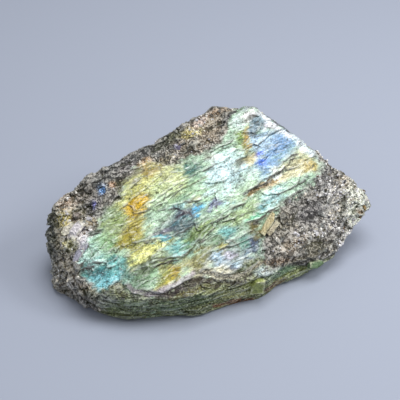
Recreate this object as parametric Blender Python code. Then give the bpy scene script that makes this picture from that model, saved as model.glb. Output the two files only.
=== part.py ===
"""A rough labradorite chunk: one wedge-shaped piece of feldspar, broken on every side.

Metres, +Z up. The chunk lies on a flat break at z = 0, with its bounding box centred over the
origin. The broad cleaved face slopes up from the front (-Y) to a crest at the back, the left end
(-X) is a blunt bluff under a granular crust, and the right end (+X) runs out to a thin tip that
hangs clear of the ground.

The block is the hull of the corners where its big breaks meet. Cleavage ledges, lumps, hollows and
rough fracture are then worked into its surface, and its foot is cut flat.
"""

import math
from typing import NamedTuple

import bmesh
import bpy
from mathutils import Vector, noise

MM = 0.001

# Driving dimensions of the chunk as it lies. The millimetre positions below suit these.
LENGTH = 90 * MM
DEPTH = 58 * MM
HEIGHT = 34 * MM

# How finely the surface is worked, and how many triangles of it are kept before the foot is cut.
WORKING_GRAIN = 0.6 * MM
MOST_TRIANGLES = 12200
SHORTEST_EDGE = 0.05 * MM

# The cleavage runs across the face at this angle from +X, seen from above.
CLEAVAGE_ANGLE = math.radians(33)

# The stone under its flashes.
STONE_COLOUR = (0.26, 0.29, 0.24, 1.0)
STONE_ROUGHNESS = 0.42

# Corners where the breaks meet, in millimetres (along, back, up).
FOOT = [(-43.5, -15.5, -2), (-36.5, -20.5, -2), (-26.5, -25.5, -2), (-12.5, -25.5, -2), (3.5, -22.5, -2),
        (14.5, -14.5, -2), (27.5, -1.5, -2), (24.5, 15.5, -2), (6.5, 25.5, -2), (-18.5, 19.5, -2),
        (-39.5, 5.5, -2)]
LEFT_BLUFF = [(-45, -8, 12), (-44.5, -7.5, 18), (-42.5, -6, 22)]
CREST = [(-41, -3.5, 23), (-33.5, 1, 25.5), (-11, 14, 31), (-0.5, 21.5, 33), (3, 22.5, 33.5),
         (9.5, 22, 33.5), (12, 22.5, 33)]
RIGHT_RIM = [(17.5, 17.5, 30.5), (25, 13, 27), (33, 8.5, 22), (37.5, 8.5, 20), (42, 8, 15.5)]
TIP = [(44, 6.5, 13), (44, 3, 11)]
UNDERCUT = [(37, -5.5, 7.5), (35, -7, 5.5), (31.5, -8, 3.5), (23.5, -12, 1)]
FRONT_LIP = [(-40, -20, 8), (-29.5, -26.5, 9), (-22.5, -28, 9.5), (-13.5, -28, 10), (-3.5, -26.5, 10),
             (5.5, -23, 9.5)]
BACK = [(-37.5, 6.5, 14), (-23.5, 16.5, 15), (-7.5, 24.5, 17), (8.5, 29.5, 18), (23.5, 22.5, 14),
        (36.5, 14.5, 12)]

# The edge of the cleaved face, seen from above: inside it the stone splits in plates, outside it
# the surface is granular crust.
FACE_EDGE = [(-29.5, -25.5), (-35, -20.5), (-32.5, -14.5), (-28.5, -7.5), (-24.5, -1.5), (-15.5, 4.5),
             (-3.5, 8.5), (4.5, 14.5), (8.5, 23.5), (16.5, 21.5), (26.5, 13.5), (29, 8.5), (23.5, 2.5),
             (18.5, -2.5), (13.5, -9.5), (13.5, -15.5), (5.5, -22), (-3.5, -23.5), (-10.5, -27.5),
             (-20.5, -28.5)]
FACE_EDGE_SOFTNESS = 2.5

# The plates' edges show less at the back and the ends, under the crust there, than on the front wall.
BACK_PAGES = 0.45


class Ledge(NamedTuple):
    """A step in the surface along a line seen from above.

    The plate on the left hand of the line, going from its first point to its last, stands proud by
    the rise at the line and sinks back into the surface over the reach. All in millimetres.
    """

    line: tuple
    rise: float
    reach: float


class Lump(NamedTuple):
    """A rounded swelling of the surface, or a hollow where the rise is negative. Millimetres."""

    centre: tuple
    radius: float
    rise: float


LEDGES = [
    # Plates of the cleaved face, from the crest down to the front.
    Ledge(((-21.5, -8.5), (-10.5, -2), (-3.5, 2.5), (3.5, 7)), 0.6, 5),
    Ledge(((-16.5, -8.5), (-8.5, -5.5), (-0.5, -4)), 0.5, 3),
    Ledge(((-22.5, -17), (-11.5, -14.5), (-1.5, -9.5), (1.5, -7.5)), 0.7, 5),
    Ledge(((-23.5, -24), (-13.5, -20.5), (-8, -19), (-4, -15.5), (1, -10), (7.5, -4.5)), 1.1, 5),
    Ledge(((6.5, -3), (16, 2.5), (18.5, 5), (25, 11.5)), 1.0, 6),
    Ledge(((1, -9.5), (6, -5.5), (10, -3.5)), 0.5, 3),
    Ledge(((6, -10.5), (13, -7.5), (19.5, -2.5)), 0.7, 4),
    Ledge(((8.5, 15.5), (9.5, 7.5), (5.5, 4.5)), 0.4, 4),
    # The two rims that hang over the front wall.
    Ledge(((-22.5, -24.5), (-20, -27), (-12.5, -27.5), (-8.5, -25.2), (-3.5, -22.3)), 1.4, 6),
    Ledge(((-6.5, -21.8), (-0.5, -21.7), (4.5, -21.9), (9.5, -18.9), (14, -15.5)), 1.4, 6),
    # The crust that stands proud of the face round the left end.
    Ledge(((-29.5, -25.5), (-35, -21), (-33.5, -18), (-32, -14.5), (-27.5, -12)), 1.3, 6),
]

LUMPS = [
    # The swirled swelling over the front wall, the two peaks with the notch between, and the shoulder.
    Lump((4.5, -16.5, 14), 9, 1.3),
    Lump((1, 21.5, 33), 4, 0.8),
    Lump((11, 21.5, 33), 4, 0.6),
    Lump((6.3, 22, 33.5), 3, -2.4),
    Lump((-6.5, 14.5, 31), 8, 0.9),
    Lump((-15.5, 10, 29), 4, -0.9),
    # The hollow beside the swelling, the granular slope and the tip.
    Lump((13.5, -9.5, 15.5), 4.5, -1.2),
    Lump((25.5, -3.5, 17), 8, -1.0),
    Lump((34.5, 8, 22), 3.5, -0.9),
    Lump((41.5, 5, 13), 4, 0.9),
    Lump((39, -1.5, 10), 3, -1.1),
    # The bluff at the left end.
    Lump((-44, -12, 6), 4, -0.5),
    Lump((-37.5, -10.5, 20), 5, 0.8),
    Lump((-38.5, -18.5, 9), 5, -0.8),
    Lump((-26.5, -8.5, 21), 4, -0.6),
    # The break at the back.
    Lump((-23.5, 15.5, 15), 7, 1.2),
    Lump((-31, 12, 20), 8, -1.6),
    Lump((-4, 27, 24), 9, -1.8),
    Lump((8.5, 28.5, 16), 8, -1.4),
    Lump((17, 27, 8), 8, 1.3),
    Lump((29.5, 17.5, 12), 6, 1.2),
    Lump((27, 19, 22), 7, -1.3),
]


def clear_scene():
    """Remove every object."""
    for obj in list(bpy.data.objects):
        bpy.data.objects.remove(obj)


def smooth_step(low, high, value):
    """0 below low, 1 above high, and an S curve between them."""
    share = min(1.0, max(0.0, (value - low) / (high - low)))
    return share * share * (3 - 2 * share)


def broken_block(corners):
    """The plain block between the big breaks, as a bmesh in metres."""
    block = bmesh.new()
    for corner in corners:
        block.verts.new(Vector(corner) * MM)
    bmesh.ops.convex_hull(block, input=block.verts)
    loose = [vert for vert in block.verts if not vert.link_faces]
    bmesh.ops.delete(block, geom=loose, context="VERTS")
    bmesh.ops.recalc_face_normals(block, faces=block.faces)
    return block


def across_line(line, x, y):
    """How far a plan point lies to the left of a line, and how much of its height is left there.

    Args:
        line: The line's plan points in millimetres.
        x, y: The plan point in millimetres.

    Returns:
        The signed distance, positive on the left hand, and a share that fades to 0 past the ends.
    """
    nearest = math.inf
    across = 0.0
    along = 0.0
    run = 0.0
    for (ax, ay), (bx, by) in zip(line, line[1:]):
        length = math.hypot(bx - ax, by - ay)
        ux, uy = (bx - ax) / length, (by - ay) / length
        step = min(length, max(0.0, (x - ax) * ux + (y - ay) * uy))
        dx, dy = x - ax - ux * step, y - ay - uy * step
        gap = math.hypot(dx, dy)
        if gap < nearest:
            nearest = gap
            across = math.copysign(gap, ux * dy - uy * dx)
            along = run + step
        run += length
    fade = smooth_step(0, 0.22 * run, along) * smooth_step(0, 0.22 * run, run - along)
    return across, fade


def ledge_relief(ledge, x, y):
    """Height in millimetres that a ledge adds at a plan point."""
    wander = 0.5 * noise.noise(Vector((x, y, ledge.rise)) / 2.5)
    across, fade = across_line(ledge.line, x, y)
    across += wander
    if across <= -0.5:
        return 0.0
    rise = smooth_step(-0.5, 0.5, across)
    return ledge.rise * fade * rise * math.exp(-max(0.0, across) / ledge.reach)


def lump_relief(lump, point):
    """Height in millimetres that a lump adds at a point."""
    share = (point - Vector(lump.centre)).length / lump.radius
    return lump.rise * (1 - share * share) ** 2 if share < 1 else 0.0


def inside_outline(outline, x, y):
    """Signed distance of a plan point from an outline, positive inside it."""
    inside = False
    nearest = math.inf
    for (ax, ay), (bx, by) in zip(outline, outline[1:] + outline[:1]):
        if (ay > y) != (by > y) and x < ax + (y - ay) * (bx - ax) / (by - ay):
            inside = not inside
        length = math.hypot(bx - ax, by - ay)
        ux, uy = (bx - ax) / length, (by - ay) / length
        step = min(length, max(0.0, (x - ax) * ux + (y - ay) * uy))
        nearest = min(nearest, math.hypot(x - ax - ux * step, y - ay - uy * step))
    return nearest if inside else -nearest


def plate_relief(x, y):
    """Thin overlapping cleavage plates, each rising to an edge that faces down the slope."""
    along = x * math.cos(CLEAVAGE_ANGLE) + y * math.sin(CLEAVAGE_ANGLE)
    across = y * math.cos(CLEAVAGE_ANGLE) - x * math.sin(CLEAVAGE_ANGLE)
    wander = 1.6 * noise.noise(Vector((along / 9, across / 5, 3)))
    turn = (across + wander) / 3.4
    strength = 0.5 + 0.5 * noise.noise(Vector((along / 7, across / 6, 11)))
    return 0.5 * strength * (1 - (turn - math.floor(turn)))


def crust_relief(point):
    """Coarse crystal grains standing out of the crust."""
    distances, _ = noise.voronoi(point / 2.6)
    small, _ = noise.voronoi(point / 1.5)
    return 0.85 * (0.5 - distances[0]) + 0.45 * (0.5 - small[0])


def wall_relief(point):
    """The edges of the plates, which run along the front wall like the pages of a book."""
    lift = point.z - 0.09 * point.x + 0.8 * noise.noise(point / 7)
    turn = lift / 2.3
    page = turn - math.floor(turn)
    broken = 0.55 + 0.45 * noise.noise(Vector((point.x / 4, math.floor(turn) * 5.0, 2)))
    return 0.9 * broken * smooth_step(0.0, 0.35, page) * smooth_step(1.0, 0.75, page)


def relief(point, normal):
    """How far the surface stands out of the plain block at a point, in millimetres."""
    x, y = point.x, point.y
    top = smooth_step(0.35, 0.65, normal.z)
    face = top * smooth_step(-FACE_EDGE_SOFTNESS, FACE_EDGE_SOFTNESS, inside_outline(FACE_EDGE, x, y))
    front = smooth_step(0.55, 0.85, -normal.y) * smooth_step(-36, -30, x) * (1 - top)
    height = 1.1 * noise.noise(point / 11) + 0.55 * noise.noise(point / 4.5)
    height += sum(ledge_relief(ledge, x, y) for ledge in LEDGES) * smooth_step(-0.2, 0.2, normal.z)
    height += sum(lump_relief(lump, point) for lump in LUMPS)
    height += face * plate_relief(x, y)
    height += (1 - face) * (1 - front) * crust_relief(point)
    height += max(front, BACK_PAGES * (1 - top)) * wall_relief(point)
    return height


def worked_surface(block):
    """The block remeshed finely, with the relief worked into it.

    Args:
        block: The plain block as a bmesh in metres, which is freed.

    Returns:
        A mesh in metres.
    """
    mesh = bpy.data.meshes.new("worked_surface")
    block.to_mesh(mesh)
    block.free()
    helper = bpy.data.objects.new("worked_surface", mesh)
    bpy.context.scene.collection.objects.link(helper)
    grain = helper.modifiers.new("Grain", "REMESH")
    grain.mode = "VOXEL"
    grain.voxel_size = WORKING_GRAIN
    fine = evaluated_mesh(helper)
    bpy.data.objects.remove(helper)
    normals = [vert.normal.copy() for vert in fine.vertices]
    for vert, normal in zip(fine.vertices, normals):
        vert.co += normal * relief(vert.co / MM, normal) * MM
    fine.update()
    return fine


def evaluated_mesh(obj):
    """A new mesh of the object with its modifiers applied."""
    graph = bpy.context.evaluated_depsgraph_get()
    return bpy.data.meshes.new_from_object(obj.evaluated_get(graph))


def coarsened(mesh):
    """The mesh thinned to the triangles that matter most."""
    helper = bpy.data.objects.new("coarsened", mesh)
    bpy.context.scene.collection.objects.link(helper)
    thin = helper.modifiers.new("Thin", "DECIMATE")
    thin.ratio = MOST_TRIANGLES / sum(len(face.vertices) - 2 for face in mesh.polygons)
    kept = evaluated_mesh(helper)
    bpy.data.objects.remove(helper)
    return kept


def flat_foot(mesh):
    """Cut the foot flat at z = 0 and close it with one face."""
    stone = bmesh.new()
    stone.from_mesh(mesh)
    everything = stone.verts[:] + stone.edges[:] + stone.faces[:]
    cut = bmesh.ops.bisect_plane(stone, geom=everything, plane_co=(0, 0, 0), plane_no=(0, 0, 1),
                                 clear_inner=True)
    rim = [item for item in cut["geom_cut"] if isinstance(item, bmesh.types.BMEdge)]
    bmesh.ops.contextual_create(stone, geom=rim)
    bmesh.ops.remove_doubles(stone, verts=stone.verts, dist=SHORTEST_EDGE)
    for vert in stone.verts:
        if vert.co.z < SHORTEST_EDGE:
            vert.co.z = 0.0
    bmesh.ops.triangulate(stone, faces=stone.faces)
    bmesh.ops.recalc_face_normals(stone, faces=stone.faces)
    stone.to_mesh(mesh)
    stone.free()


def fit_box(mesh):
    """Centre the mesh over the origin and bring it to the driving dimensions."""
    lows = [min(vert.co[axis] for vert in mesh.vertices) for axis in range(3)]
    highs = [max(vert.co[axis] for vert in mesh.vertices) for axis in range(3)]
    scale = [size / (high - low) for size, low, high in zip((LENGTH, DEPTH, HEIGHT), lows, highs)]
    middle = [(lows[0] + highs[0]) / 2, (lows[1] + highs[1]) / 2, lows[2]]
    for vert in mesh.vertices:
        vert.co = [(vert.co[axis] - middle[axis]) * scale[axis] for axis in range(3)]


def stone_material():
    """Grey-green feldspar with a glassy break."""
    material = bpy.data.materials.new("Labradorite")
    material.use_nodes = True
    shader = material.node_tree.nodes["Principled BSDF"]
    shader.inputs["Base Color"].default_value = STONE_COLOUR
    shader.inputs["Roughness"].default_value = STONE_ROUGHNESS
    shader.inputs["Metallic"].default_value = 0.0
    return material


def build_chunk():
    """The chunk as one object."""
    corners = FOOT + LEFT_BLUFF + CREST + RIGHT_RIM + TIP + UNDERCUT + FRONT_LIP + BACK
    mesh = coarsened(worked_surface(broken_block(corners)))
    flat_foot(mesh)
    fit_box(mesh)
    mesh.name = "labradorite_chunk"
    mesh.materials.append(stone_material())
    chunk = bpy.data.objects.new("labradorite_chunk", mesh)
    bpy.context.scene.collection.objects.link(chunk)
    return chunk


clear_scene()
build_chunk()
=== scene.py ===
"""The look of a rough labradorite chunk: its broken surface, its crust of grains and its flashes.

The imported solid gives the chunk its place, size and main breaks. A fine skin is grown over a copy
of it, split in cleavage plates on the sloping face, pages along the front wall and angular grains
in the crust, and then painted and given its mineral finish. Positions in the dataclasses below
are in millimetres, in the solid's own frame: +X along the chunk, +Y to the back, +Z up.
"""

import itertools
import logging
import math
from dataclasses import dataclass, field
from enum import Enum

import bpy
import numpy as np
from mathutils import Matrix, Vector, noise


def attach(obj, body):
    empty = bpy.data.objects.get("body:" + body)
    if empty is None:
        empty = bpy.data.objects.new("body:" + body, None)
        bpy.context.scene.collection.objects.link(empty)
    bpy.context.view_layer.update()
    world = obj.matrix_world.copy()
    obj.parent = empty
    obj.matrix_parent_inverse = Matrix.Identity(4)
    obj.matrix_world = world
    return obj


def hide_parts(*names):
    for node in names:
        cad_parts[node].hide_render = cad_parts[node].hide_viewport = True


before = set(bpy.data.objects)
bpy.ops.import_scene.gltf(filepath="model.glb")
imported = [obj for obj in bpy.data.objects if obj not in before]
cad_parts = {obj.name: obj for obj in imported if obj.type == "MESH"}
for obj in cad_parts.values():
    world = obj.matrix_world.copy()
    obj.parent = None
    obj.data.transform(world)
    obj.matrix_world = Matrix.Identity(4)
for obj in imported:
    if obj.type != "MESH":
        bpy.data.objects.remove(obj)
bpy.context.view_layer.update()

LOG = logging.getLogger("labradorite")
MM = 0.001
CHUNK_NODE = "labradorite_chunk"
# The map that a piece brings along for its baked colours.
MAP_NAME = "OFBake"

# The cleavage runs across the face at this angle from +X, seen from above.
CLEAVAGE_ANGLE = math.radians(33)
# Flashes are laid out on a plane that leans back from the floor by this much, about along the face.
LAYOUT_LEAN = math.radians(49)
# How much the front wall's pages rise towards the tip, in height by length.
PAGE_SLANT = 0.09

Screen = tuple[int, int, int]
Triple = tuple[float, float, float]
Span = tuple[float, float]
Line = tuple[Span, ...]
Look = tuple[np.ndarray, np.ndarray, np.ndarray]
Sockets = bpy.types.bpy_prop_collection


class Region(Enum):
    """The three kinds of surface on the chunk."""

    FACE = "face"
    CRUST = "crust"
    WALL = "wall"


@dataclass(frozen=True)
class Ledge:
    """A step along a line seen from above, where the plate on the line's left hand stands proud.

    Attributes:
        line: The line, in millimetres.
        rise: The step's height, in millimetres.
        reach: How far from the line the plate slopes back down, in millimetres.
    """

    line: Line
    rise: float
    reach: float


@dataclass(frozen=True)
class Patch:
    """A patch of colour on the layout plane.

    Attributes:
        centre: Its centre in millimetres.
        half: Half its length and half its width in millimetres.
        turn: How far its length is turned up from the horizontal, in degrees.
        colour: Its colour in 0 to 255, as a screen shows it.
        strength: How much of it covers what lies below.
        softness: How soft its edge is, as a share of its half sizes.
    """

    centre: tuple[float, float]
    half: tuple[float, float]
    turn: float
    colour: Screen
    strength: float = 0.9
    softness: float = 0.55


@dataclass(frozen=True)
class Vein:
    """A line of colour on the layout plane.

    Attributes:
        line: The line, in millimetres.
        half: Half its width in millimetres.
        colour: Its colour in 0 to 255, as a screen shows it.
        strength: How much of it covers what lies below.
    """

    line: Line
    half: float
    colour: Screen
    strength: float = 0.85


def linear(colour: Screen) -> Triple:
    """A screen colour in 0 to 255 as linear light."""
    shares = [channel / 255 for channel in colour]
    return tuple(s / 12.92 if s <= 0.04045 else ((s + 0.055) / 1.055) ** 2.4 for s in shares)


def apply_modifier(obj: bpy.types.Object, kind: str, **settings: object) -> None:
    """Add a modifier to the active object and apply it.

    Args:
        obj: The active object.
        kind: The modifier's type name.
        **settings: The modifier's own properties.
    """
    bpy.ops.object.modifier_add(type=kind)
    modifier = obj.modifiers[-1]
    for name, value in settings.items():
        setattr(modifier, name, value)
    bpy.ops.object.modifier_apply(modifier=modifier.name)


def take_alone(obj: bpy.types.Object) -> None:
    """Select one object and nothing else.

    Args:
        obj: The object, which becomes the active one.
    """
    bpy.ops.object.select_all(action="DESELECT")
    bpy.context.view_layer.objects.active = obj
    obj.select_set(True)


def read_all(
    items: bpy.types.bpy_prop_collection, name: str, width: int = 1, kind: type = float
) -> np.ndarray:
    """Read one property of every item in a list, such as a mesh's points.

    Args:
        items: The list.
        name: The property's name.
        width: How many numbers the property has.
        kind: The type of those numbers.

    Returns:
        One number for each item, or one row where the property has several numbers.
    """
    values = np.empty(len(items) * width, kind)
    items.foreach_get(name, values)
    return values.reshape(-1, width) if width > 1 else values


def store(mesh: bpy.types.Mesh, name: str, values: np.ndarray) -> None:
    """Store a number or a colour for each point of a mesh.

    Args:
        mesh: The mesh.
        name: The attribute's name.
        values: One number for each point, or one linear colour in a row of three.
    """
    if values.ndim == 1:
        layer = mesh.attributes.new(name, "FLOAT", "POINT")
        layer.data.foreach_set("value", values.astype(np.float32))
    else:
        layer = mesh.attributes.new(name, "FLOAT_COLOR", "POINT")
        opaque = np.hstack([values, np.ones((len(values), 1))])
        layer.data.foreach_set("color", opaque.astype(np.float32).ravel())


def stored(mesh: bpy.types.Mesh, name: str) -> np.ndarray:
    """Read back a number stored for each point of a mesh."""
    return read_all(mesh.attributes[name].data, "value", kind=np.float32).astype(float)


def points_of(mesh: bpy.types.Mesh) -> tuple[np.ndarray, np.ndarray]:
    """A mesh's points in millimetres and their normals."""
    return read_all(mesh.vertices, "co", 3) / MM, read_all(mesh.vertices, "normal", 3)


def lay_map(mesh: bpy.types.Mesh, spots: np.ndarray) -> None:
    """Give a mesh its map, with one spot for each corner of its faces."""
    layer = mesh.uv_layers.new(name=MAP_NAME)
    layer.uv.foreach_set("vector", spots.astype(np.float32).ravel())


def blend(ground: np.ndarray, colour: Screen, mask: np.ndarray) -> np.ndarray:
    """Take linear colours towards a screen colour.

    Args:
        ground: The linear colours, one row for each point, or one for all of them.
        colour: The screen colour.
        mask: How far each point's colour goes, 0 to 1.

    Returns:
        The linear colours, one row for each point.
    """
    return ground + (np.array(linear(colour)) - ground) * mask[:, None]


def smooth_step(low: float, high: float, value: np.ndarray) -> np.ndarray:
    """0 below low, 1 above high, and an S curve between them."""
    share = np.clip((value - low) / (high - low), 0.0, 1.0)
    return share * share * (3 - 2 * share)


def wander(points: np.ndarray, size: float, seed: float) -> np.ndarray:
    """Smooth noise in about -1 to 1 at each point.

    Args:
        points: Positions in millimetres, one row each.
        size: Size of the noise's features in millimetres.
        seed: Picks one noise field among many.

    Returns:
        One value for each point.
    """
    shift = Vector((seed * 13.7, seed * 7.1, seed * 3.3))
    return np.array([noise.noise(Vector(point) / size + shift) for point in points.tolist()])


def wander_along(points: np.ndarray, size: float, seeds: tuple[int, ...]) -> np.ndarray:
    """Smooth noise in about -1 to 1 at each point, one column for each seed."""
    return np.stack([wander(points, size, seed) for seed in seeds], axis=1)


@dataclass(frozen=True)
class Crystals:
    """Space broken into crystals, each with a tone and a tilt of its own.

    Attributes:
        size: Crystal size in millimetres along each axis of the points given.
        seed: Picks one breaking of space among many.
    """

    size: Triple
    seed: int

    def scatter(self, corners: np.ndarray, salt: float) -> np.ndarray:
        """A steady random number for each lattice corner.

        Args:
            corners: The corners, one row each.
            salt: Picks one set of numbers among many.

        Returns:
            Numbers in 0 to 1.
        """
        weights = np.array([12.9898, 78.233, 37.719]) + salt
        value = np.sin(corners @ weights + self.seed * 1.37) * 43758.5453
        return value - np.floor(value)

    def read(self, points: np.ndarray) -> Look:
        """Read the crystals at some points.

        Args:
            points: Positions in millimetres, one row each.

        Returns:
            Each point's crystal tone in 0 to 1, the height of that crystal's tilted facet there,
            in about -1 to 1, and the gap to the next crystal, 0 on the joint between two.
        """
        scaled = points / np.array(self.size)
        base = np.floor(scaled)
        nearest = np.full(len(points), 9.0)
        second = np.full(len(points), 9.0)
        home = base.copy()
        from_seed = scaled - base
        for step in itertools.product((-1, 0, 1), repeat=3):
            corners = base + np.array(step)
            jitter = np.stack([self.scatter(corners, salt) for salt in (0.0, 3.1, 5.7)], axis=1)
            reach = scaled - corners - jitter
            gap = np.linalg.norm(reach, axis=1)
            closer = gap < nearest
            second = np.where(closer, nearest, np.minimum(second, gap))
            nearest = np.where(closer, gap, nearest)
            home[closer] = corners[closer]
            from_seed[closer] = reach[closer]
        tilt = np.stack([self.scatter(home, salt) - 0.5 for salt in (11.0, 17.0, 23.0)], axis=1)
        return self.scatter(home, 29.0), 2 * (from_seed * tilt).sum(axis=1), second - nearest


@dataclass(frozen=True)
class Relief:
    """A surface that breaks in large crystals, and each of them in small ones.

    Attributes:
        large: How it breaks in large crystals.
        small: How it breaks in small ones.
        heights: In millimetres, for a large crystal's level, its tilted facet, a small one's
            level and its facet.
        joints: How fast the gap grows beside a large joint and beside a small one, and what it
            starts from there.
        large_share: How much of the tone is the large crystal's.
    """

    large: Crystals
    small: Crystals
    heights: tuple[float, float, float, float]
    joints: Triple
    large_share: float

    def read(self, points: np.ndarray) -> Look:
        """Read the relief at some points.

        Args:
            points: Positions in millimetres, one row each.

        Returns:
            Tone, height in millimetres, and gap to the next joint, at each point.
        """
        tone, facet, gap = self.large.read(points)
        small_tone, small_facet, small_gap = self.small.read(points)
        level, tilt, small_level, small_tilt = self.heights
        height = level * (tone - 0.5) + tilt * facet
        height = height + small_level * (small_tone - 0.5) + small_tilt * small_facet
        wide, narrow, start = self.joints
        tone = self.large_share * tone + (1 - self.large_share) * small_tone
        return tone, height, np.minimum(gap * wide, small_gap * narrow + start)


def across_line(line: Line, plan: np.ndarray) -> tuple[np.ndarray, np.ndarray]:
    """How far plan points lie to the left of a line, and how much of its height is left there.

    Args:
        line: The line's plan points in millimetres.
        plan: Plan points in millimetres, one row each.

    Returns:
        The signed distance, positive on the left hand, and a share that fades to 0 at the ends.
    """
    nearest = np.full(len(plan), np.inf)
    across = np.zeros(len(plan))
    along = np.zeros(len(plan))
    run = 0.0
    for start, end in zip(line, line[1:]):
        span = np.subtract(end, start)
        length = float(np.hypot(*span))
        unit = span / length
        offset = plan - np.array(start)
        step = np.clip(offset @ unit, 0, length)
        rest = offset - step[:, None] * unit
        gap = np.hypot(rest[:, 0], rest[:, 1])
        side = np.where(unit[0] * rest[:, 1] - unit[1] * rest[:, 0] < 0, -1.0, 1.0)
        closer = gap < nearest
        nearest = np.where(closer, gap, nearest)
        across = np.where(closer, gap * side, across)
        along = np.where(closer, run + step, along)
        run += length
    end_share = 0.2 * run
    fade = smooth_step(0, end_share, along) * smooth_step(0, end_share, run - along)
    return across, fade


def inside_outline(outline: Line, plan: np.ndarray) -> np.ndarray:
    """How far plan points lie inside an outline.

    Args:
        outline: The outline's corners in millimetres.
        plan: Plan points in millimetres, one row each.

    Returns:
        The signed distance, positive inside the outline.
    """
    inside = np.zeros(len(plan), bool)
    nearest = np.full(len(plan), np.inf)
    x, y = plan[:, 0], plan[:, 1]
    for (ax, ay), (bx, by) in zip(outline, outline[1:] + outline[:1]):
        if ay != by:
            crosses = ((ay > y) != (by > y)) & (x < ax + (y - ay) * (bx - ax) / (by - ay))
            inside ^= crosses
        length = math.hypot(bx - ax, by - ay)
        ux, uy = (bx - ax) / length, (by - ay) / length
        step = np.clip((x - ax) * ux + (y - ay) * uy, 0, length)
        nearest = np.minimum(nearest, np.hypot(x - ax - ux * step, y - ay - uy * step))
    return np.where(inside, nearest, -nearest)


@dataclass
class Skin:
    """Points of the chunk's surface, with what grows at each of them.

    Attributes:
        points: The points in millimetres, one row each.
        normals: The surface's normals there.
        face_edge: The edge of the cleaved face, seen from above.
        wall_brow: How high the front wall reaches, as places along the chunk and heights.
    """

    points: np.ndarray
    normals: np.ndarray
    face_edge: Line = (
        (-30.8, -24.6), (-34.5, -20.5), (-32.0, -14.5), (-28.5, -7.5), (-24.6, -4.0),
        (-23.2, 0.0), (-20.5, 4.0), (-17.0, 5.8), (-11.0, 4.8), (-6.5, 7.2), (-1.0, 8.8),
        (3.0, 12.0), (5.0, 17.0), (6.8, 23.5), (16.5, 21.5), (28.0, 12.8), (31.0, 9.2),
        (28.0, 4.4), (24.3, 1.9), (18.5, -2.5), (13.5, -9.5), (13.5, -15.5), (5.5, -23.0),
        (-3.5, -24.2), (-10.5, -27.5), (-16.0, -28.2), (-19.8, -27.6), (-21.8, -25.8),
        (-23.2, -23.8), (-26.0, -25.0), (-28.9, -25.6),
    )
    wall_brow: Line = (
        (-30.0, 9.0), (-24.0, 11.5), (-5.0, 14.0), (12.0, 14.0), (14.5, 9.5), (20.0, 7.4),
        (26.0, 4.6), (32.0, 4.4), (37.0, 4.0),
    )

    def plan(self) -> np.ndarray:
        """The points seen from above."""
        return self.points[:, :2]

    def cleavage_place(self) -> np.ndarray:
        """Turn the points so that the first axis runs along the cleavage.

        Returns:
            The turned points, one row each.
        """
        x, y, z = self.points.T
        along = x * math.cos(CLEAVAGE_ANGLE) + y * math.sin(CLEAVAGE_ANGLE)
        across = y * math.cos(CLEAVAGE_ANGLE) - x * math.sin(CLEAVAGE_ANGLE)
        return np.stack([along, across, z], axis=1)

    def layout_place(self) -> np.ndarray:
        """The points on the leaning plane that the flashes are laid out on."""
        x, y, z = self.points.T
        return np.stack([x, y * math.cos(LAYOUT_LEAN) + z * math.sin(LAYOUT_LEAN)], axis=1)

    def masks(self) -> dict[Region, np.ndarray]:
        """Tell the regions apart, with frayed edges between them.

        Returns:
            How much of each region every point belongs to, adding up to 1.
        """
        edge = inside_outline(self.face_edge, self.plan())
        edge += 0.9 * wander(self.points, 3.0, 1) + 0.8 * wander(self.points, 1.1, 3)
        top = smooth_step(0.25, 0.6, self.normals[:, 2])
        face = top * smooth_step(-0.8, 0.8, edge)
        x, _, z = self.points.T
        brow = np.interp(x, *zip(*self.wall_brow)) + 0.7 * wander(self.points, 2.0, 2)
        front = smooth_step(-30.5, -27.5, x + wander(self.points, 2.5, 4))
        front = front * smooth_step(0.1, 0.35, -self.normals[:, 1])
        wall = (1 - face) * front * smooth_step(0.6, -0.6, z - brow) * smooth_step(37, 34, x)
        return {Region.FACE: face, Region.WALL: wall, Region.CRUST: 1 - face - wall}


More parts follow.
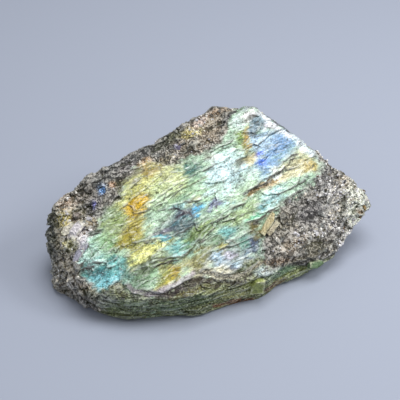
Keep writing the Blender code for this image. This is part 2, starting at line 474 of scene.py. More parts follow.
@dataclass
class StoneBody:
    """The chunk's fine skin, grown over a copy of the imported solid.

    Attributes:
        voxel: How finely the skin is grown, in metres.
        merge_gap: Points of the solid nearer than this, in metres, are one point.
        smoothing_turns: How often the grown skin is smoothed.
        most_triangles: How many triangles are kept.
        crease: Faces that meet at less than this are shaded as one.
        foot: Points lower than this, in millimetres, stay in the flat foot.
        lowest: No carved point goes lower than this, in millimetres.
        fade: The carving fades in between these heights, in millimetres.
        fine_turns: How often the surface is evened out to find the fine hollows.
        broad_turns: The same for the broad hollows.
        plate_relief: How the face breaks in plates.
        grain_relief: How the crust breaks in crystals.
        page_relief: How the front wall breaks in pages.
        ledges: The steps across the face and round its rim.
        ledge_share: How much of each ledge's rise is carved, as the solid has the rest.
        groove: How deep the groove under a ledge is, in millimetres.
        left_end: Where the crust's grains grow coarser towards the left end, in millimetres.
        right_end: The same towards the right end.
        map_origin: How far left and in front of the solid's origin the map starts.
        around_squeeze: The chunk's length by its depth, roughly.
        side_slope: Faces that look up less than this go on the side sheets.
        under_slope: Faces that look up less than this, which is down, go on the bottom sheet.
        under_height: Only what lies lower than this, in millimetres, goes on the bottom sheet.
        top_span: How many millimetres would fill the map, for the top sheet.
        side_span: The same for heights on the side sheets.
        under_spans: The same for the bottom sheet, along the chunk and across it.
        object: The skin, once it is built.
    """

    voxel: float = 0.00027
    merge_gap: float = 1e-6
    smoothing_turns: int = 9
    most_triangles: int = 188000
    crease: float = math.radians(32)
    foot: float = 0.15
    lowest: float = 0.02
    fade: Span = (0.05, 1.2)
    fine_turns: int = 2
    broad_turns: int = 24
    plate_relief: Relief = Relief(
        large=Crystals((13.0, 3.3, 3.6), 3),
        small=Crystals((3.4, 1.2, 1.4), 8),
        heights=(0.2, 0.42, 0.07, 0.14),
        joints=(3.3, 1.2, 0.12),
        large_share=0.6,
    )
    grain_relief: Relief = Relief(
        large=Crystals((4.2, 2.4, 2.6), 21),
        small=Crystals((1.5, 0.85, 0.9), 34),
        heights=(0.8, 0.95, 0.16, 0.22),
        joints=(3.1, 0.9, 0.1),
        large_share=0.35,
    )
    page_relief: Relief = Relief(
        large=Crystals((8.0, 4.0, 1.5), 41),
        small=Crystals((2.6, 2.0, 0.7), 47),
        heights=(0.6, 0.25, 0.22, 0.15),
        joints=(1.5, 0.7, 0.1),
        large_share=0.0,
    )
    ledge_share: float = 0.8
    groove: float = 0.09
    left_end: Span = (-27.0, -33.0)
    right_end: Span = (33.0, 38.0)
    map_origin: Span = (46.0, 30.0)
    around_squeeze: float = 1.5
    side_slope: float = 0.3
    under_slope: float = -0.6
    under_height: float = 6.0
    top_span: float = 112.0
    side_span: float = 170.0
    under_spans: Span = (210.0, 450.0)
    ledges: tuple[Ledge, ...] = (
        Ledge(((-21.5, -8.5), (-10.5, -2), (-3.5, 2.5), (3.5, 7)), 0.35, 1.5),
        Ledge(((-16.5, -8.5), (-8.5, -5.5), (-0.5, -4)), 0.3, 1.2),
        Ledge(((-22.5, -17), (-11.5, -14.5), (-1.5, -9.5), (1.5, -7.5)), 0.45, 1.6),
        Ledge(((-23.5, -24), (-13.5, -20.5), (-8, -19), (-4, -15.5), (1, -10), (7.5, -4.5)), 0.55,
               1.6),
        Ledge(((6.5, -3), (16, 2.5), (18.5, 5), (25, 11.5)), 0.5, 1.8),
        Ledge(((1, -9.5), (6, -5.5), (10, -3.5)), 0.3, 1.2),
        Ledge(((6, -10.5), (13, -7.5), (19.5, -2.5)), 0.35, 1.5),
        Ledge(((-24, -23), (-22.4, -25.6), (-20.8, -27.4), (-16.7, -28.1), (-13.8, -28.1),
               (-11, -27.4), (-7.5, -25.6), (-3.1, -23)), 0.55, 1.5),
        Ledge(((-5, -23), (-0.5, -23.5), (2.1, -23.5), (5.5, -22.8), (8.9, -21.2), (11.8, -19.1),
               (15, -16)), 0.55, 1.5),
        Ledge(((-29.5, -25.5), (-35, -21), (-33.5, -18), (-32, -14.5), (-27.5, -12)), 0.5, 2.0),
    )
    object: bpy.types.Object | None = field(default=None, init=False)

    def build(self, solid: bpy.types.Object) -> bpy.types.Object:
        """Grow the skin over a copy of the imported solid.

        Args:
            solid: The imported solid, which isn't changed.

        Returns:
            The finished skin, with its masks and tones stored on its points.
        """
        skin = bpy.data.objects.new("labradorite_skin", solid.data.copy())
        skin.data.materials.clear()
        bpy.context.scene.collection.objects.link(skin)
        take_alone(skin)
        bpy.ops.object.mode_set(mode="EDIT")
        bpy.ops.mesh.select_all(action="SELECT")
        bpy.ops.mesh.remove_doubles(threshold=self.merge_gap)
        bpy.ops.object.mode_set(mode="OBJECT")
        apply_modifier(skin, "REMESH", mode="VOXEL", voxel_size=self.voxel)
        apply_modifier(skin, "SMOOTH", factor=0.5, iterations=self.smoothing_turns)
        self.object = skin
        self.carve()
        share = self.most_triangles / (2 * len(skin.data.polygons))
        apply_modifier(skin, "DECIMATE", ratio=min(1.0, share), use_collapse_triangulate=True)
        self.read_shape()
        self.lay_out()
        bpy.ops.object.shade_smooth_by_angle(angle=self.crease)
        return skin

    def carve(self) -> None:
        """Split the skin in plates, pages and grains, and store what grows where."""
        mesh = self.object.data
        points, normals = points_of(mesh)
        skin = Skin(points, normals)
        masks = skin.masks()
        looks = {
            Region.FACE: self.plates(skin),
            Region.CRUST: self.grains(skin),
            Region.WALL: self.pages(skin),
        }
        tone, height, gap = (
            sum(masks[region] * look[part] for region, look in looks.items()) for part in range(3)
        )
        height *= smooth_step(*self.fade, points[:, 2])
        carved = points + normals * height[:, None]
        low = points[:, 2] < self.foot
        carved[:, 2] = np.where(low, points[:, 2], np.maximum(carved[:, 2], self.lowest))
        mesh.vertices.foreach_set("co", (carved * MM).ravel())
        mesh.update()
        store(mesh, "tone", tone)
        store(mesh, "gap", gap)
        store(mesh, "face", masks[Region.FACE])
        store(mesh, "wall", masks[Region.WALL])

    def plates(self, skin: Skin) -> Look:
        """The cleavage plates and ledges on the face.

        Args:
            skin: The skin's points.

        Returns:
            Tone, height in millimetres, and gap to the next joint, at each point.
        """
        place = skin.cleavage_place()
        stretched = place / np.array([2.5, 1.0, 1.0])
        warped = place + wander_along(stretched, 3.0, (5, 6, 7))
        tone, height, gap = self.plate_relief.read(warped)
        height += 0.05 * wander(stretched, 0.7, 9)
        for ledge in self.ledges:
            across, fade = across_line(ledge.line, skin.plan())
            across = across + 0.35 * wander(skin.points, 1.6, 12)
            drop = smooth_step(-0.2, 0.2, across) * np.exp(-np.maximum(across, 0) / ledge.reach)
            height += self.ledge_share * ledge.rise * fade * drop
            below = smooth_step(-0.8, -0.2, across) * smooth_step(0.1, -0.2, across)
            height -= self.groove * fade * below
        return tone, height, gap

    def grains(self, skin: Skin) -> Look:
        """The crystals in the crust, coarser at both ends of the chunk.

        Args:
            skin: The skin's points.

        Returns:
            Tone, height in millimetres, and gap to the next joint, at each point.
        """
        warped = skin.cleavage_place() + 0.5 * wander_along(skin.points, 1.5, (25, 26, 27))
        tone, height, gap = self.grain_relief.read(warped)
        along = skin.points[:, 0]
        left, right = smooth_step(*self.left_end, along), smooth_step(*self.right_end, along)
        height *= 0.45 + 0.55 * left + 0.4 * right
        height += 0.3 * wander(skin.points, 6.0, 28) - 0.25
        return tone, height, gap

    def pages(self, skin: Skin) -> Look:
        """The plates' edges along the front wall.

        Args:
            skin: The skin's points.

        Returns:
            Tone, height in millimetres, and gap to the next joint, at each point.
        """
        x, y, z = skin.points.T
        flattened = skin.points / np.array([2.0, 2.0, 1.0])
        lift = z - PAGE_SLANT * x + 0.6 * wander(flattened, 3.0, 15)
        return self.page_relief.read(np.stack([x, y, lift], axis=1))

    def read_shape(self) -> None:
        """Store how deep each point lies in a fine and in a broad hollow, negative on a ridge."""
        mesh = self.object.data
        points, normals = points_of(mesh)
        ends = read_all(mesh.edges, "vertices", 2, np.int64)
        count = np.bincount(ends.ravel(), minlength=len(points))
        smoothed = points.copy()
        for turn in range(self.broad_turns):
            total = np.stack([
                np.bincount(ends[:, 0], smoothed[ends[:, 1], axis], len(points))
                + np.bincount(ends[:, 1], smoothed[ends[:, 0], axis], len(points))
                for axis in range(3)
            ], axis=1)
            smoothed = total / count[:, None]
            if turn + 1 == self.fine_turns:
                store(mesh, "hollow_fine", ((smoothed - points) * normals).sum(axis=1))
        store(mesh, "hollow_broad", ((smoothed - points) * normals).sum(axis=1))
        store(mesh, "upturned", normals[:, 2])

    def lay_out(self) -> None:
        """Give the skin a map of a few large sheets: the top, the bottom and the sides."""
        mesh = self.object.data
        points, _ = points_of(mesh)
        corners = read_all(mesh.loops, "vertex_index", kind=np.int64)
        counts = read_all(mesh.polygons, "loop_total", kind=np.int64)
        steepness = read_all(mesh.polygons, "normal", 3)[:, 2]
        place = points[corners]
        middle = place.reshape(-1, 3, 3).mean(axis=1)
        steep = steepness < self.side_slope
        downward = (steepness < self.under_slope) & (middle[:, 2] < self.under_height)
        turn = np.repeat(self.bearing(middle), counts)
        bearing = self.bearing(place)
        bearing += 2 * np.pi * np.round((turn - bearing) / (2 * np.pi))
        behind = turn >= 0
        share = np.where(behind, bearing, bearing + np.pi) / np.pi
        along, across = (place[:, :2] + np.array(self.map_origin)).T
        top = np.stack([0.01 + along / self.top_span, 0.46 + across / self.top_span], axis=1)
        row = np.where(behind, 0.23, 0.01)
        side = np.stack([0.01 + 0.97 * share, row + place[:, 2] / self.side_span], axis=1)
        along_span, across_span = self.under_spans
        under = np.stack([0.85 + across / across_span, 0.5 + along / along_span], axis=1)
        chosen = np.where(np.repeat(steep, counts)[:, None], side, top)
        chosen = np.where(np.repeat(downward, counts)[:, None], under, chosen)
        lay_map(mesh, np.clip(chosen, 0.001, 0.999))

    def bearing(self, places: np.ndarray) -> np.ndarray:
        """The direction of each place round the chunk's middle, in radians from +X."""
        return np.arctan2(places[:, 1] * self.around_squeeze, places[:, 0])


def start_block(size: float) -> bpy.types.Object:
    """Add a cube at the origin and open it for editing, with all of it selected.

    Args:
        size: The cube's side.

    Returns:
        The cube.
    """
    bpy.ops.object.select_all(action="DESELECT")
    bpy.ops.mesh.primitive_cube_add(size=size)
    bpy.ops.object.mode_set(mode="EDIT")
    bpy.ops.mesh.select_all(action="SELECT")
    return bpy.context.object


def cut_away(slope: np.ndarray, reach: float) -> None:
    """Cut the block that is being edited along a plane and close it.

    Args:
        slope: The plane's direction, of length 1. What lies beyond the plane goes.
        reach: How far the plane is from the origin.
    """
    point = (slope * reach).tolist()
    bpy.ops.mesh.select_all(action="SELECT")
    bpy.ops.mesh.bisect(plane_co=point, plane_no=slope.tolist(), use_fill=True, clear_outer=True)


@dataclass
class CrustGrains:
    """Angular cleavage fragments half sunk in the crust.

    Attributes:
        count: How many fragments there are.
        kinds: How many shapes they have.
        cuts: How many cuts each shape has.
        cut_reach: How near and how far from the middle the cuts are.
        seed: Picks one scattering among many.
        sizes: Half the smallest, the usual and the largest size in millimetres.
        size_spread: How much the sizes vary.
        stretch: How flat and how long fragments are.
        sunk: How deep a fragment's middle may lie under the skin, in its own half sizes.
        lowest: No point of a fragment is lower than this, in millimetres.
        pale: The pale minerals' colours.
        dark: The dark minerals' colours.
    """

    count: int = 3600
    kinds: int = 9
    cuts: int = 4
    cut_reach: Span = (0.42, 0.62)
    seed: int = 11
    sizes: Triple = (0.08, 0.125, 0.34)
    size_spread: float = 0.42
    stretch: Span = (0.75, 1.35)
    sunk: float = 0.7
    lowest: float = 0.05
    pale: tuple[Screen, ...] = (
        (250, 248, 244), (228, 224, 216), (214, 212, 216), (222, 214, 196),
    )
    dark: tuple[Screen, ...] = ((66, 62, 56), (104, 84, 62), (86, 82, 60), (92, 90, 96))

    def model_fragment(self, number: int) -> tuple[np.ndarray, np.ndarray]:
        """Cut one fragment out of a cube.

        Args:
            number: Which of the kinds it is, which sets its cuts.

        Returns:
            The fragment's points, about 1 across, and its triangles.
        """
        chance = np.random.default_rng(self.seed + number)
        block = start_block(1.5)
        for _ in range(self.cuts):
            slope = chance.normal(size=3)
            slope /= np.linalg.norm(slope)
            cut_away(slope, chance.uniform(*self.cut_reach))
        bpy.ops.mesh.select_all(action="SELECT")
        bpy.ops.mesh.remove_doubles(threshold=0.03)
        bpy.ops.mesh.quads_convert_to_tris()
        bpy.ops.mesh.normals_make_consistent(inside=False)
        bpy.ops.object.mode_set(mode="OBJECT")
        mesh = block.data
        points = read_all(mesh.vertices, "co", 3)
        faces = [tuple(face.vertices) for face in mesh.polygons]
        triangles = np.array([face for face in faces if len(face) == 3])
        bpy.data.objects.remove(block)
        bpy.data.meshes.remove(mesh)
        return points, triangles

    def pick_places(
        self, body: bpy.types.Object, paint: "FlashPaint", chance: np.random.Generator
    ) -> tuple[np.ndarray, np.ndarray]:
        """Pick where fragments sit: in clusters, and most where the crust is light.

        Args:
            body: The skin, with its masks.
            paint: The colours of the crust.
            chance: The source of random numbers.

        Returns:
            Each fragment's place on the skin in millimetres, and the skin's normal there.
        """
        mesh = body.data
        points, normals = points_of(mesh)
        faces = read_all(mesh.polygons, "vertices", 3, np.int64)
        areas = read_all(mesh.polygons, "area")
        crust = np.clip(1 - stored(mesh, "face") - stored(mesh, "wall"), 0, 1)
        middle = points[faces].mean(axis=1)
        clusters = smooth_step(-0.35, 0.35, wander(middle, 4.0, 61))
        light = self.crust_colour(paint, middle, normals[faces[:, 0]]).mean(axis=1)
        slope = smooth_step(18.0, 24.0, middle[:, 0])
        weight = areas * crust[faces].mean(axis=1) ** 3 * smooth_step(1.2, 2.5, middle[:, 2])
        weight *= (0.15 + clusters) * (0.35 + slope) * smooth_step(0.1, 0.4, light)
        weight *= 0.25 + 0.75 * smooth_step(39, 35, middle[:, 0])
        picked = chance.choice(len(faces), size=self.count, p=weight / weight.sum())
        return middle[picked], normals[faces[picked, 0]]

    def build(self, body: bpy.types.Object, paint: "FlashPaint") -> bpy.types.Object:
        """Scatter fragments over the crust.

        Args:
            body: The skin, with its masks.
            paint: The colours of the crust.

        Returns:
            The fragments, as one piece.
        """
        chance = np.random.default_rng(self.seed)
        kinds = [self.model_fragment(number) for number in range(self.kinds)]
        places, normals = self.pick_places(body, paint, chance)
        local = self.crust_colour(paint, places, normals)
        smallest, usual, largest = self.sizes
        columns = math.ceil(math.sqrt(self.count))
        all_points, all_faces, all_colours, all_spots = [], [], [], []
        first = 0
        for number, (place, normal) in enumerate(zip(places, normals)):
            corners, triangles = kinds[int(chance.integers(self.kinds))]
            size = usual * chance.lognormal(0.0, self.size_spread)
            size = float(np.clip(size, smallest, largest))
            turn, _ = np.linalg.qr(chance.normal(size=(3, 3)))
            if np.linalg.det(turn) < 0:
                turn[:, 0] *= -1
            stretch = chance.uniform(*self.stretch, size=3)
            grown = (corners * stretch) @ turn.T * size * 2
            all_points.append(grown + place + normal * size * chance.uniform(-self.sunk, 0.0))
            all_faces.append(triangles + first)
            all_colours.append(np.tile(self.tint(local[number], chance), (len(corners), 1)))
            cell = np.array([number % columns, number // columns])
            all_spots.append((cell + 0.5 + corners[:, :2] * 0.5) / columns)
            first += len(corners)
        mesh = bpy.data.meshes.new("crust_grains")
        points = np.vstack(all_points)
        points[:, 2] = np.maximum(points[:, 2], self.lowest)
        mesh.from_pydata((points * MM).tolist(), [], np.vstack(all_faces).tolist())
        store(mesh, "paint", np.vstack(all_colours))
        corners = read_all(mesh.loops, "vertex_index", kind=np.int64)
        lay_map(mesh, np.vstack(all_spots)[corners])
        grains = bpy.data.objects.new("crust_grains", mesh)
        bpy.context.scene.collection.objects.link(grains)
        return grains

    @staticmethod
    def crust_colour(paint: "FlashPaint", places: np.ndarray, normals: np.ndarray) -> np.ndarray:
        """The crust's own linear colour at some places.

        Args:
            paint: The colours of the crust.
            places: Positions in millimetres, one row each.
            normals: The skin's normals there.

        Returns:
            One linear colour for each place.
        """
        none = np.zeros(len(places))
        masks = {Region.FACE: none, Region.WALL: none, Region.CRUST: none + 1}
        return paint.paint(Skin(places, normals), masks)

    def tint(self, local: np.ndarray, chance: np.random.Generator) -> np.ndarray:
        """Pick one fragment's linear colour.

        Args:
            local: The crust's own linear colour there. Where it is light, more fragments are pale.
            chance: The source of random numbers.

        Returns:
            The crust's own colour, or a pale or dark mineral's.
        """
        draw = chance.random()
        light = float(local.mean())
        shade = chance.uniform(0.6, 1.3)
        pale_share = min(0.3 + 0.9 * light, 0.75)
        dark_share = max(0.34 - 0.6 * light, 0.12)
        if draw >= pale_share + dark_share:
            return np.clip(local * shade, 0, 1)
        minerals = self.pale if draw < pale_share else self.dark
        return np.array(linear(minerals[int(chance.integers(len(minerals)))])) * shade


@dataclass(frozen=True)
class Block:
    """A cleavage block set in the stone.

    Attributes:
        start: The middle of one end, in millimetres.
        end: The middle of the other end.
        width: Its width in millimetres.
        depth: Its thickness in millimetres.
        facing: Which way its broad side faces, roughly.
        colour: Its colour in 0 to 255, as a screen shows it.
    """

    start: Triple
    end: Triple
    width: float
    depth: float
    facing: Triple
    colour: Screen


@dataclass
class SetCrystals:
    """The larger crystals that stand out of the crust and of the front wall.

    Attributes:
        roughening: How far points stray, in metres.
        edge_cuts: How many times each edge is cut for that.
        breaks: How many corners and edges are broken off.
        break_reach: How near and how far from the middle the breaks are, as a share of the
            block's extent that way.
        edge_highlight_from: Where the painted edge highlight starts and ends, as a share of the way
            to an edge.
        edge_highlight_share: How much of the painted highlight colour the edges have.
        edge_highlight: The colour of the painted highlight along the edges.
        blocks: The crystals.
    """

    roughening: float = 0.00013
    edge_cuts: int = 4
    breaks: int = 5
    break_reach: Span = (0.24, 0.36)
    edge_highlight_from: Span = (0.72, 0.95)
    edge_highlight_share: float = 0.6
    edge_highlight: Screen = (226, 226, 196)
    blocks: tuple[Block, ...] = (
        Block((-32.6, -15.8, 18.6), (-35.4, -19.6, 13.6), 2.2, 1.1, (-0.5, -0.7, 0.5),
              (192, 190, 204)),
        Block((11.9, -20.3, 3.4), (12.1, -20.6, 8.2), 3.6, 1.8, (0.15, -1.0, 0.1), (150, 160, 92)),
        Block((26.4, -12.3, 5.2), (30.6, -10.4, 4.7), 2.3, 1.8, (0.4, -0.9, 0.4), (122, 148, 108)),
        Block((13.2, -10.4, 15.2), (16.9, -5.5, 18.0), 1.8, 1.2, (0.2, -0.5, 0.8), (188, 176, 134)),
        Block((14.5, -11.0, 14.4), (17.6, -7.1, 16.5), 1.2, 1.0, (0.3, -0.6, 0.7), (186, 176, 150)),
        Block((-38.9, -12.6, 17.0), (-36.0, -11.0, 19.6), 2.5, 1.6, (-0.3, -0.6, 0.7),
              (226, 220, 202)),
        Block((-37.0, -13.8, 17.4), (-34.2, -11.4, 20.2), 2.6, 1.5, (-0.2, -0.7, 0.7),
              (232, 226, 228)),
        Block((42.0, 3.5, 13.4), (42.8, 2.8, 12.0), 1.2, 1.0, (0.8, -0.4, 0.4), (132, 108, 66)),
    )

    def model(self, number: int, block: Block) -> bpy.types.Object:
        """Model one block in its place.

        Args:
            number: Its place in the list, which seeds how it is broken and roughened.
            block: Its ends, sizes and colour.

        Returns:
            The block, with its points in place.
        """
        run = Vector(block.end) - Vector(block.start)
        crystal = start_block(1)
        sides = np.array([run.length, block.width, block.depth]) * MM
        bpy.ops.transform.resize(value=sides.tolist())
        chance = np.random.default_rng(number)
        for _ in range(self.breaks):
            slope = chance.normal(size=3) * (0.6, 1.0, 1.0)
            slope /= np.linalg.norm(slope)
            cut_away(slope, np.abs(slope * sides).sum() * chance.uniform(*self.break_reach))
        bpy.ops.mesh.select_all(action="SELECT")
        bpy.ops.mesh.quads_convert_to_tris()
        bpy.ops.mesh.subdivide(number_cuts=self.edge_cuts)
        bpy.ops.transform.vertex_random(
            offset=self.roughening, uniform=0.7, normal=0.3, seed=number + 1
        )
        bpy.ops.object.mode_set(mode="OBJECT")
        points, _ = points_of(crystal.data)
        # Painted highlight: points near the block's edges are lightened towards the edge colour.
        toward = np.sort(np.abs(points * MM) / (sides / 2), axis=1)[:, 1]
        highlight_share = self.edge_highlight_share * smooth_step(*self.edge_highlight_from, toward)
        along = run.normalized()
        out = Vector(block.facing)
        out = (out - along * out.dot(along)).normalized()
        turn = Matrix((along, out.cross(along), out)).transposed()
        middle = (Vector(block.start) + run / 2) * MM
        crystal.matrix_world = Matrix.Translation(middle) @ turn.to_4x4()
        bpy.ops.object.transform_apply(location=True, rotation=True, scale=True)
        colours = blend(np.array(linear(block.colour)), self.edge_highlight, highlight_share)
        store(crystal.data, "paint", colours)
        return crystal

    def build(self) -> bpy.types.Object:
        """Model every block and join them.

        Returns:
            The blocks, as one piece.
        """
        crystals = [self.model(number, block) for number, block in enumerate(self.blocks)]
        take_alone(crystals[0])
        for crystal in crystals:
            crystal.select_set(True)
        bpy.ops.object.join()
        piece = bpy.context.object
        piece.name = "set_crystals"
        return piece


@dataclass
class FlashPaint:
    """Where each colour lies on the chunk, as painted on its points.

    Attributes:
        vividness: How much stronger the face's colours are than their patches.
        limits: The darkest and the lightest linear colour.
        face_ground: The colour under the face's patches.
        crust_ground: The colour under the crust's patches.
        crust_stains: The broad stains where the crust faces away from the layout plane.
        stain_share: How strong those stains are.
        wall_ground: The colour under the front wall's patches.
        shifts: How the face's plates are told apart, and how far in millimetres their colours
            are moved.
        face_patches: The face's patches, the first at the bottom.
        crust_patches: The same for the crust.
        wall_patches: The same for the front wall.
        veins: The veins, painted shadows and a painted highlight that lie over all of them.
    """

    vividness: float = 1.25
    limits: Span = (0.01, 0.95)
    face_ground: Screen = (178, 202, 180)
    crust_ground: Screen = (118, 114, 106)
    crust_stains: tuple[Screen, ...] = ((134, 116, 92), (92, 96, 72), (168, 162, 150))
    stain_share: float = 0.8
    wall_ground: Screen = (108, 116, 72)
    shifts: tuple[tuple[Crystals, float], ...] = (
        (Crystals((7.0, 2.2, 3.0), 61), 1.8), (Crystals((2.4, 0.9, 1.2), 67), 1.2),
    )
    face_patches: tuple[Patch, ...] = (
        Patch((-2, 18), (13, 5), 31, (168, 196, 164)),
        Patch((-28.5, -2.5), (8, 7), 20, (92, 156, 158)),
        Patch((-30, 0.6), (5, 3.0), 50, (216, 246, 236), 1.0),
        Patch((-27.5, -7.8), (4.6, 2.0), 20, (172, 232, 240), 1.0),
        Patch((-25, 4), (6, 4), 40, (130, 162, 116)),
        Patch((-26.4, 11), (4.5, 4.5), 40, (136, 154, 126)),
        # Painted shade: the darker corner where the face meets the crust at its upper left end.
        Patch((-28.9, 6.0), (3.4, 1.6), 42, (112, 126, 108)),
        Patch((-17, 17.5), (9.5, 5), 25, (206, 202, 134)),
        Patch((-12.5, 17.5), (6, 3), 31, (208, 222, 176)),
        Patch((-13.7, 13.4), (3.6, 1.4), 31, (206, 228, 196)),
        Patch((-21.5, 7), (3.5, 5), 0, (172, 158, 86)),
        Patch((-19.8, 12.2), (3.2, 2.6), 40, (206, 170, 76)),
        Patch((-20.5, 2.7), (4, 2.2), 30, (158, 144, 72)),
        Patch((-17.2, 1.2), (6.0, 3.4), 33, (160, 158, 104)),
        Patch((-15.9, 1.2), (5.4, 1.5), 34, (252, 254, 180), 1.0),
        Patch((-15.2, 4.6), (3.8, 1.2), 33, (128, 146, 124)),
        Patch((-13.6, -2.9), (5.8, 1.7), 33, (116, 122, 80)),
        Patch((-11.2, 21), (4, 3), 30, (186, 190, 146)),
        Patch((0.6, 24.2), (1.6, 2.2), 60, (202, 200, 188)),
        Patch((-17.9, 22.6), (2.2, 1.3), 30, (198, 170, 112)),
        Patch((-15.5, 20.8), (3.2, 1.2), 30, (128, 108, 56)),
        Patch((-16.2, 22.7), (2.6, 1.0), 30, (160, 152, 106)),
        Patch((-21.0, 20.4), (2.8, 1.2), 42, (132, 128, 110)),
        Patch((-25.6, 7.6), (2.8, 3.6), -20, (134, 150, 104)),
        Patch((-20.2, 3.0), (2.0, 1.2), 30, (152, 146, 76)),
        Patch((-24.0, 0.6), (1.8, 1.2), 40, (196, 220, 194)),
        Patch((-24.4, -2.6), (2.2, 1.6), 30, (146, 196, 190)),
        Patch((5, 21.5), (7.0, 5.0), 35, (218, 242, 246), 1.0),
        Patch((4.6, 21.2), (2.4, 1.6), 35, (226, 248, 252)),
        Patch((1.6, 18.0), (4.0, 0.9), 33, (176, 198, 182)),
        Patch((8.0, 24.2), (3.0, 0.8), 50, (186, 202, 190)),
        Patch((11.7, 19), (6, 3), 33, (204, 226, 206)),
        Patch((8.6, 16.2), (5.0, 1.0), 33, (190, 212, 184)),
        Patch((-5.8, 22.3), (2.6, 2.1), 0, (78, 112, 104), 1.0),
        Patch((-9.6, 9.2), (4.2, 1.5), 28, (116, 132, 134)),
        Patch((-8.4, 12.4), (3.2, 0.8), 25, (186, 222, 222)),
        Patch((-5.0, 13.9), (2.2, 0.8), 28, (192, 192, 160)),
        Patch((-6.1, 10.0), (3.2, 1.5), 25, (86, 100, 112), 1.0),
        Patch((-1.2, 15.2), (1.8, 1.3), 30, (214, 236, 236)),
        Patch((-11.2, 5.6), (4.6, 1.9), 25, (92, 92, 106), 1.0),
        Patch((-8.3, 7.4), (2.8, 1.0), 25, (96, 132, 140), 1.0),
        Patch((-3.7, 10.8), (2.0, 1.0), 30, (110, 180, 214), 1.0),
        Patch((0.8, 12.3), (1.9, 1.2), 30, (110, 118, 144), 1.0),
        Patch((3.9, 12.6), (1.8, 0.9), 30, (206, 242, 240)),
        Patch((-7.2, 6.2), (4.6, 1.5), 27, (92, 110, 114)),
        Patch((-12.8, 3.2), (2.0, 0.5), 20, (116, 186, 200)),
        Patch((-7.5, 1.8), (4.0, 1.6), 35, (124, 180, 184)),
        Patch((-3, 5), (6, 1.4), 38, (138, 156, 104)),
        Patch((6.8, 8.0), (5.0, 1.8), 30, (134, 152, 132)),
        Patch((-10.3, -4.9), (4, 1.7), 40, (150, 128, 42), 1.0),
        Patch((-12.5, -7.2), (3.5, 1.2), 40, (176, 168, 92)),
        Patch((-15.9, -6), (4.5, 2.2), 30, (138, 166, 136)),
        Patch((-17.2, -4.4), (2.2, 1.2), 35, (104, 118, 94)),
        Patch((-13.2, -4.5), (1.6, 1.2), 35, (146, 148, 98)),
        Patch((-13.5, -9.6), (6.5, 1.0), 10, (186, 176, 178)),
        Patch((-5.5, -7.9), (4.5, 1.0), 35, (164, 152, 150)),
        Patch((-3, -2), (4, 2.5), 40, (158, 152, 106)),
        Patch((12.8, 17.2), (6, 0.7), 33, (140, 108, 60)),
        Patch((17.2, 18.6), (5, 1.3), 33, (220, 198, 168)),
        Patch((23.4, 23.4), (5.0, 3), 33, (210, 204, 172)),
        Patch((27.2, 23.0), (2.6, 2.0), 0, (184, 168, 112)),
        Patch((29.8, 23.5), (1.2, 3.0), 0, (180, 196, 176)),
        Patch((17.5, 28.8), (6.5, 4), 33, (132, 160, 198)),
        Patch((14.0, 35.6), (4.2, 2.6), 33, (152, 170, 182)),
        Patch((9.8, 39.4), (2.4, 1.2), 20, (140, 148, 160)),
        Patch((12.4, 31.6), (1.8, 1.8), 33, (134, 156, 180)),
        Patch((14.2, 29.8), (2.6, 1.8), 33, (196, 218, 236), 1.0),
        Patch((12.7, 25.2), (1.8, 1.4), 33, (220, 240, 248)),
        Patch((17.3, 21.6), (1.8, 1.3), 33, (246, 250, 242)),
        Patch((14.5, 22.6), (3.6, 2.4), 33, (132, 160, 194)),
        Patch((13, 26.8), (1.6, 1.1), 30, (88, 108, 208)),
        Patch((14, 23.7), (1.3, 0.9), 30, (98, 128, 212)),
        # Painted highlight: a pale line along the upper right rim.
        Patch((24, 30), (8, 1.1), -37, (222, 230, 238)),
        Patch((8.3, 32), (1.9, 3.4), 0, (118, 142, 70), 1.0),
        Patch((9.7, 30.4), (1.1, 4.6), 0, (138, 132, 76)),
        Patch((10.4, 31.2), (0.8, 2.4), 0, (186, 156, 92)),
        Patch((7.3, 35.2), (2.2, 1.6), 20, (210, 226, 220)),
        Patch((12.8, 33.4), (0.9, 2.0), 0, (108, 128, 140)),
        Patch((16.8, 34.4), (1.8, 1.1), -30, (236, 234, 240)),
        Patch((11.0, 36.9), (2.7, 1.7), 15, (255, 255, 250), 1.0),
        Patch((11, 25.0), (1.4, 1.9), 0, (204, 192, 150)),
        Patch((8, 25), (1.6, 1.3), 0, (104, 108, 98)),
        Patch((16.5, 14.2), (4.2, 1.9), 35, (190, 222, 222)),
        Patch((14.3, 12.6), (1.9, 1), 35, (94, 140, 150)),
        Patch((8.5, 10.5), (6, 2), 33, (158, 178, 134)),
        Patch((12.5, 9.4), (2.8, 0.7), 28, (130, 206, 166)),
        Patch((6, -0.4), (7, 4.2), 20, (136, 150, 146)),
        Patch((3, -1.6), (3.5, 2), 10, (164, 176, 186)),
        Patch((10, 2), (2.6, 1.8), 20, (88, 98, 124)),
        Patch((6.8, -3.6), (2, 1), 15, (92, 102, 128)),
        Patch((3.6, 5.4), (2.6, 1.2), 20, (140, 190, 188)),
        Patch((2.5, 1), (1.7, 1.2), 0, (178, 174, 112)),
        Patch((4.8, -0.1), (1.2, 1.1), 0, (206, 204, 216)),
        Patch((8.0, 2.4), (1.5, 1.4), 30, (112, 150, 136)),
        Patch((1.5, -1.7), (1.9, 0.9), 10, (166, 190, 206)),
        Patch((3.6, -3.6), (2.0, 0.7), 10, (224, 230, 224)),
        Patch((8.4, -2.4), (1.8, 0.8), 15, (192, 212, 222)),
        Patch((9.4, -0.7), (1.1, 0.8), 0, (104, 124, 142)),
        Patch((11.8, -0.6), (3.0, 0.7), 28, (196, 212, 200)),
        Patch((0.5, 2.5), (1.3, 1.3), 0, (124, 150, 120)),
        Patch((10.6, 6.3), (2.2, 1.1), 50, (100, 94, 62), 1.0),
        Patch((12.3, 4.4), (1.6, 1.2), 40, (108, 102, 74), 1.0),
        Patch((3.4, -5.3), (6.5, 1.4), -4, (236, 230, 206)),
    )
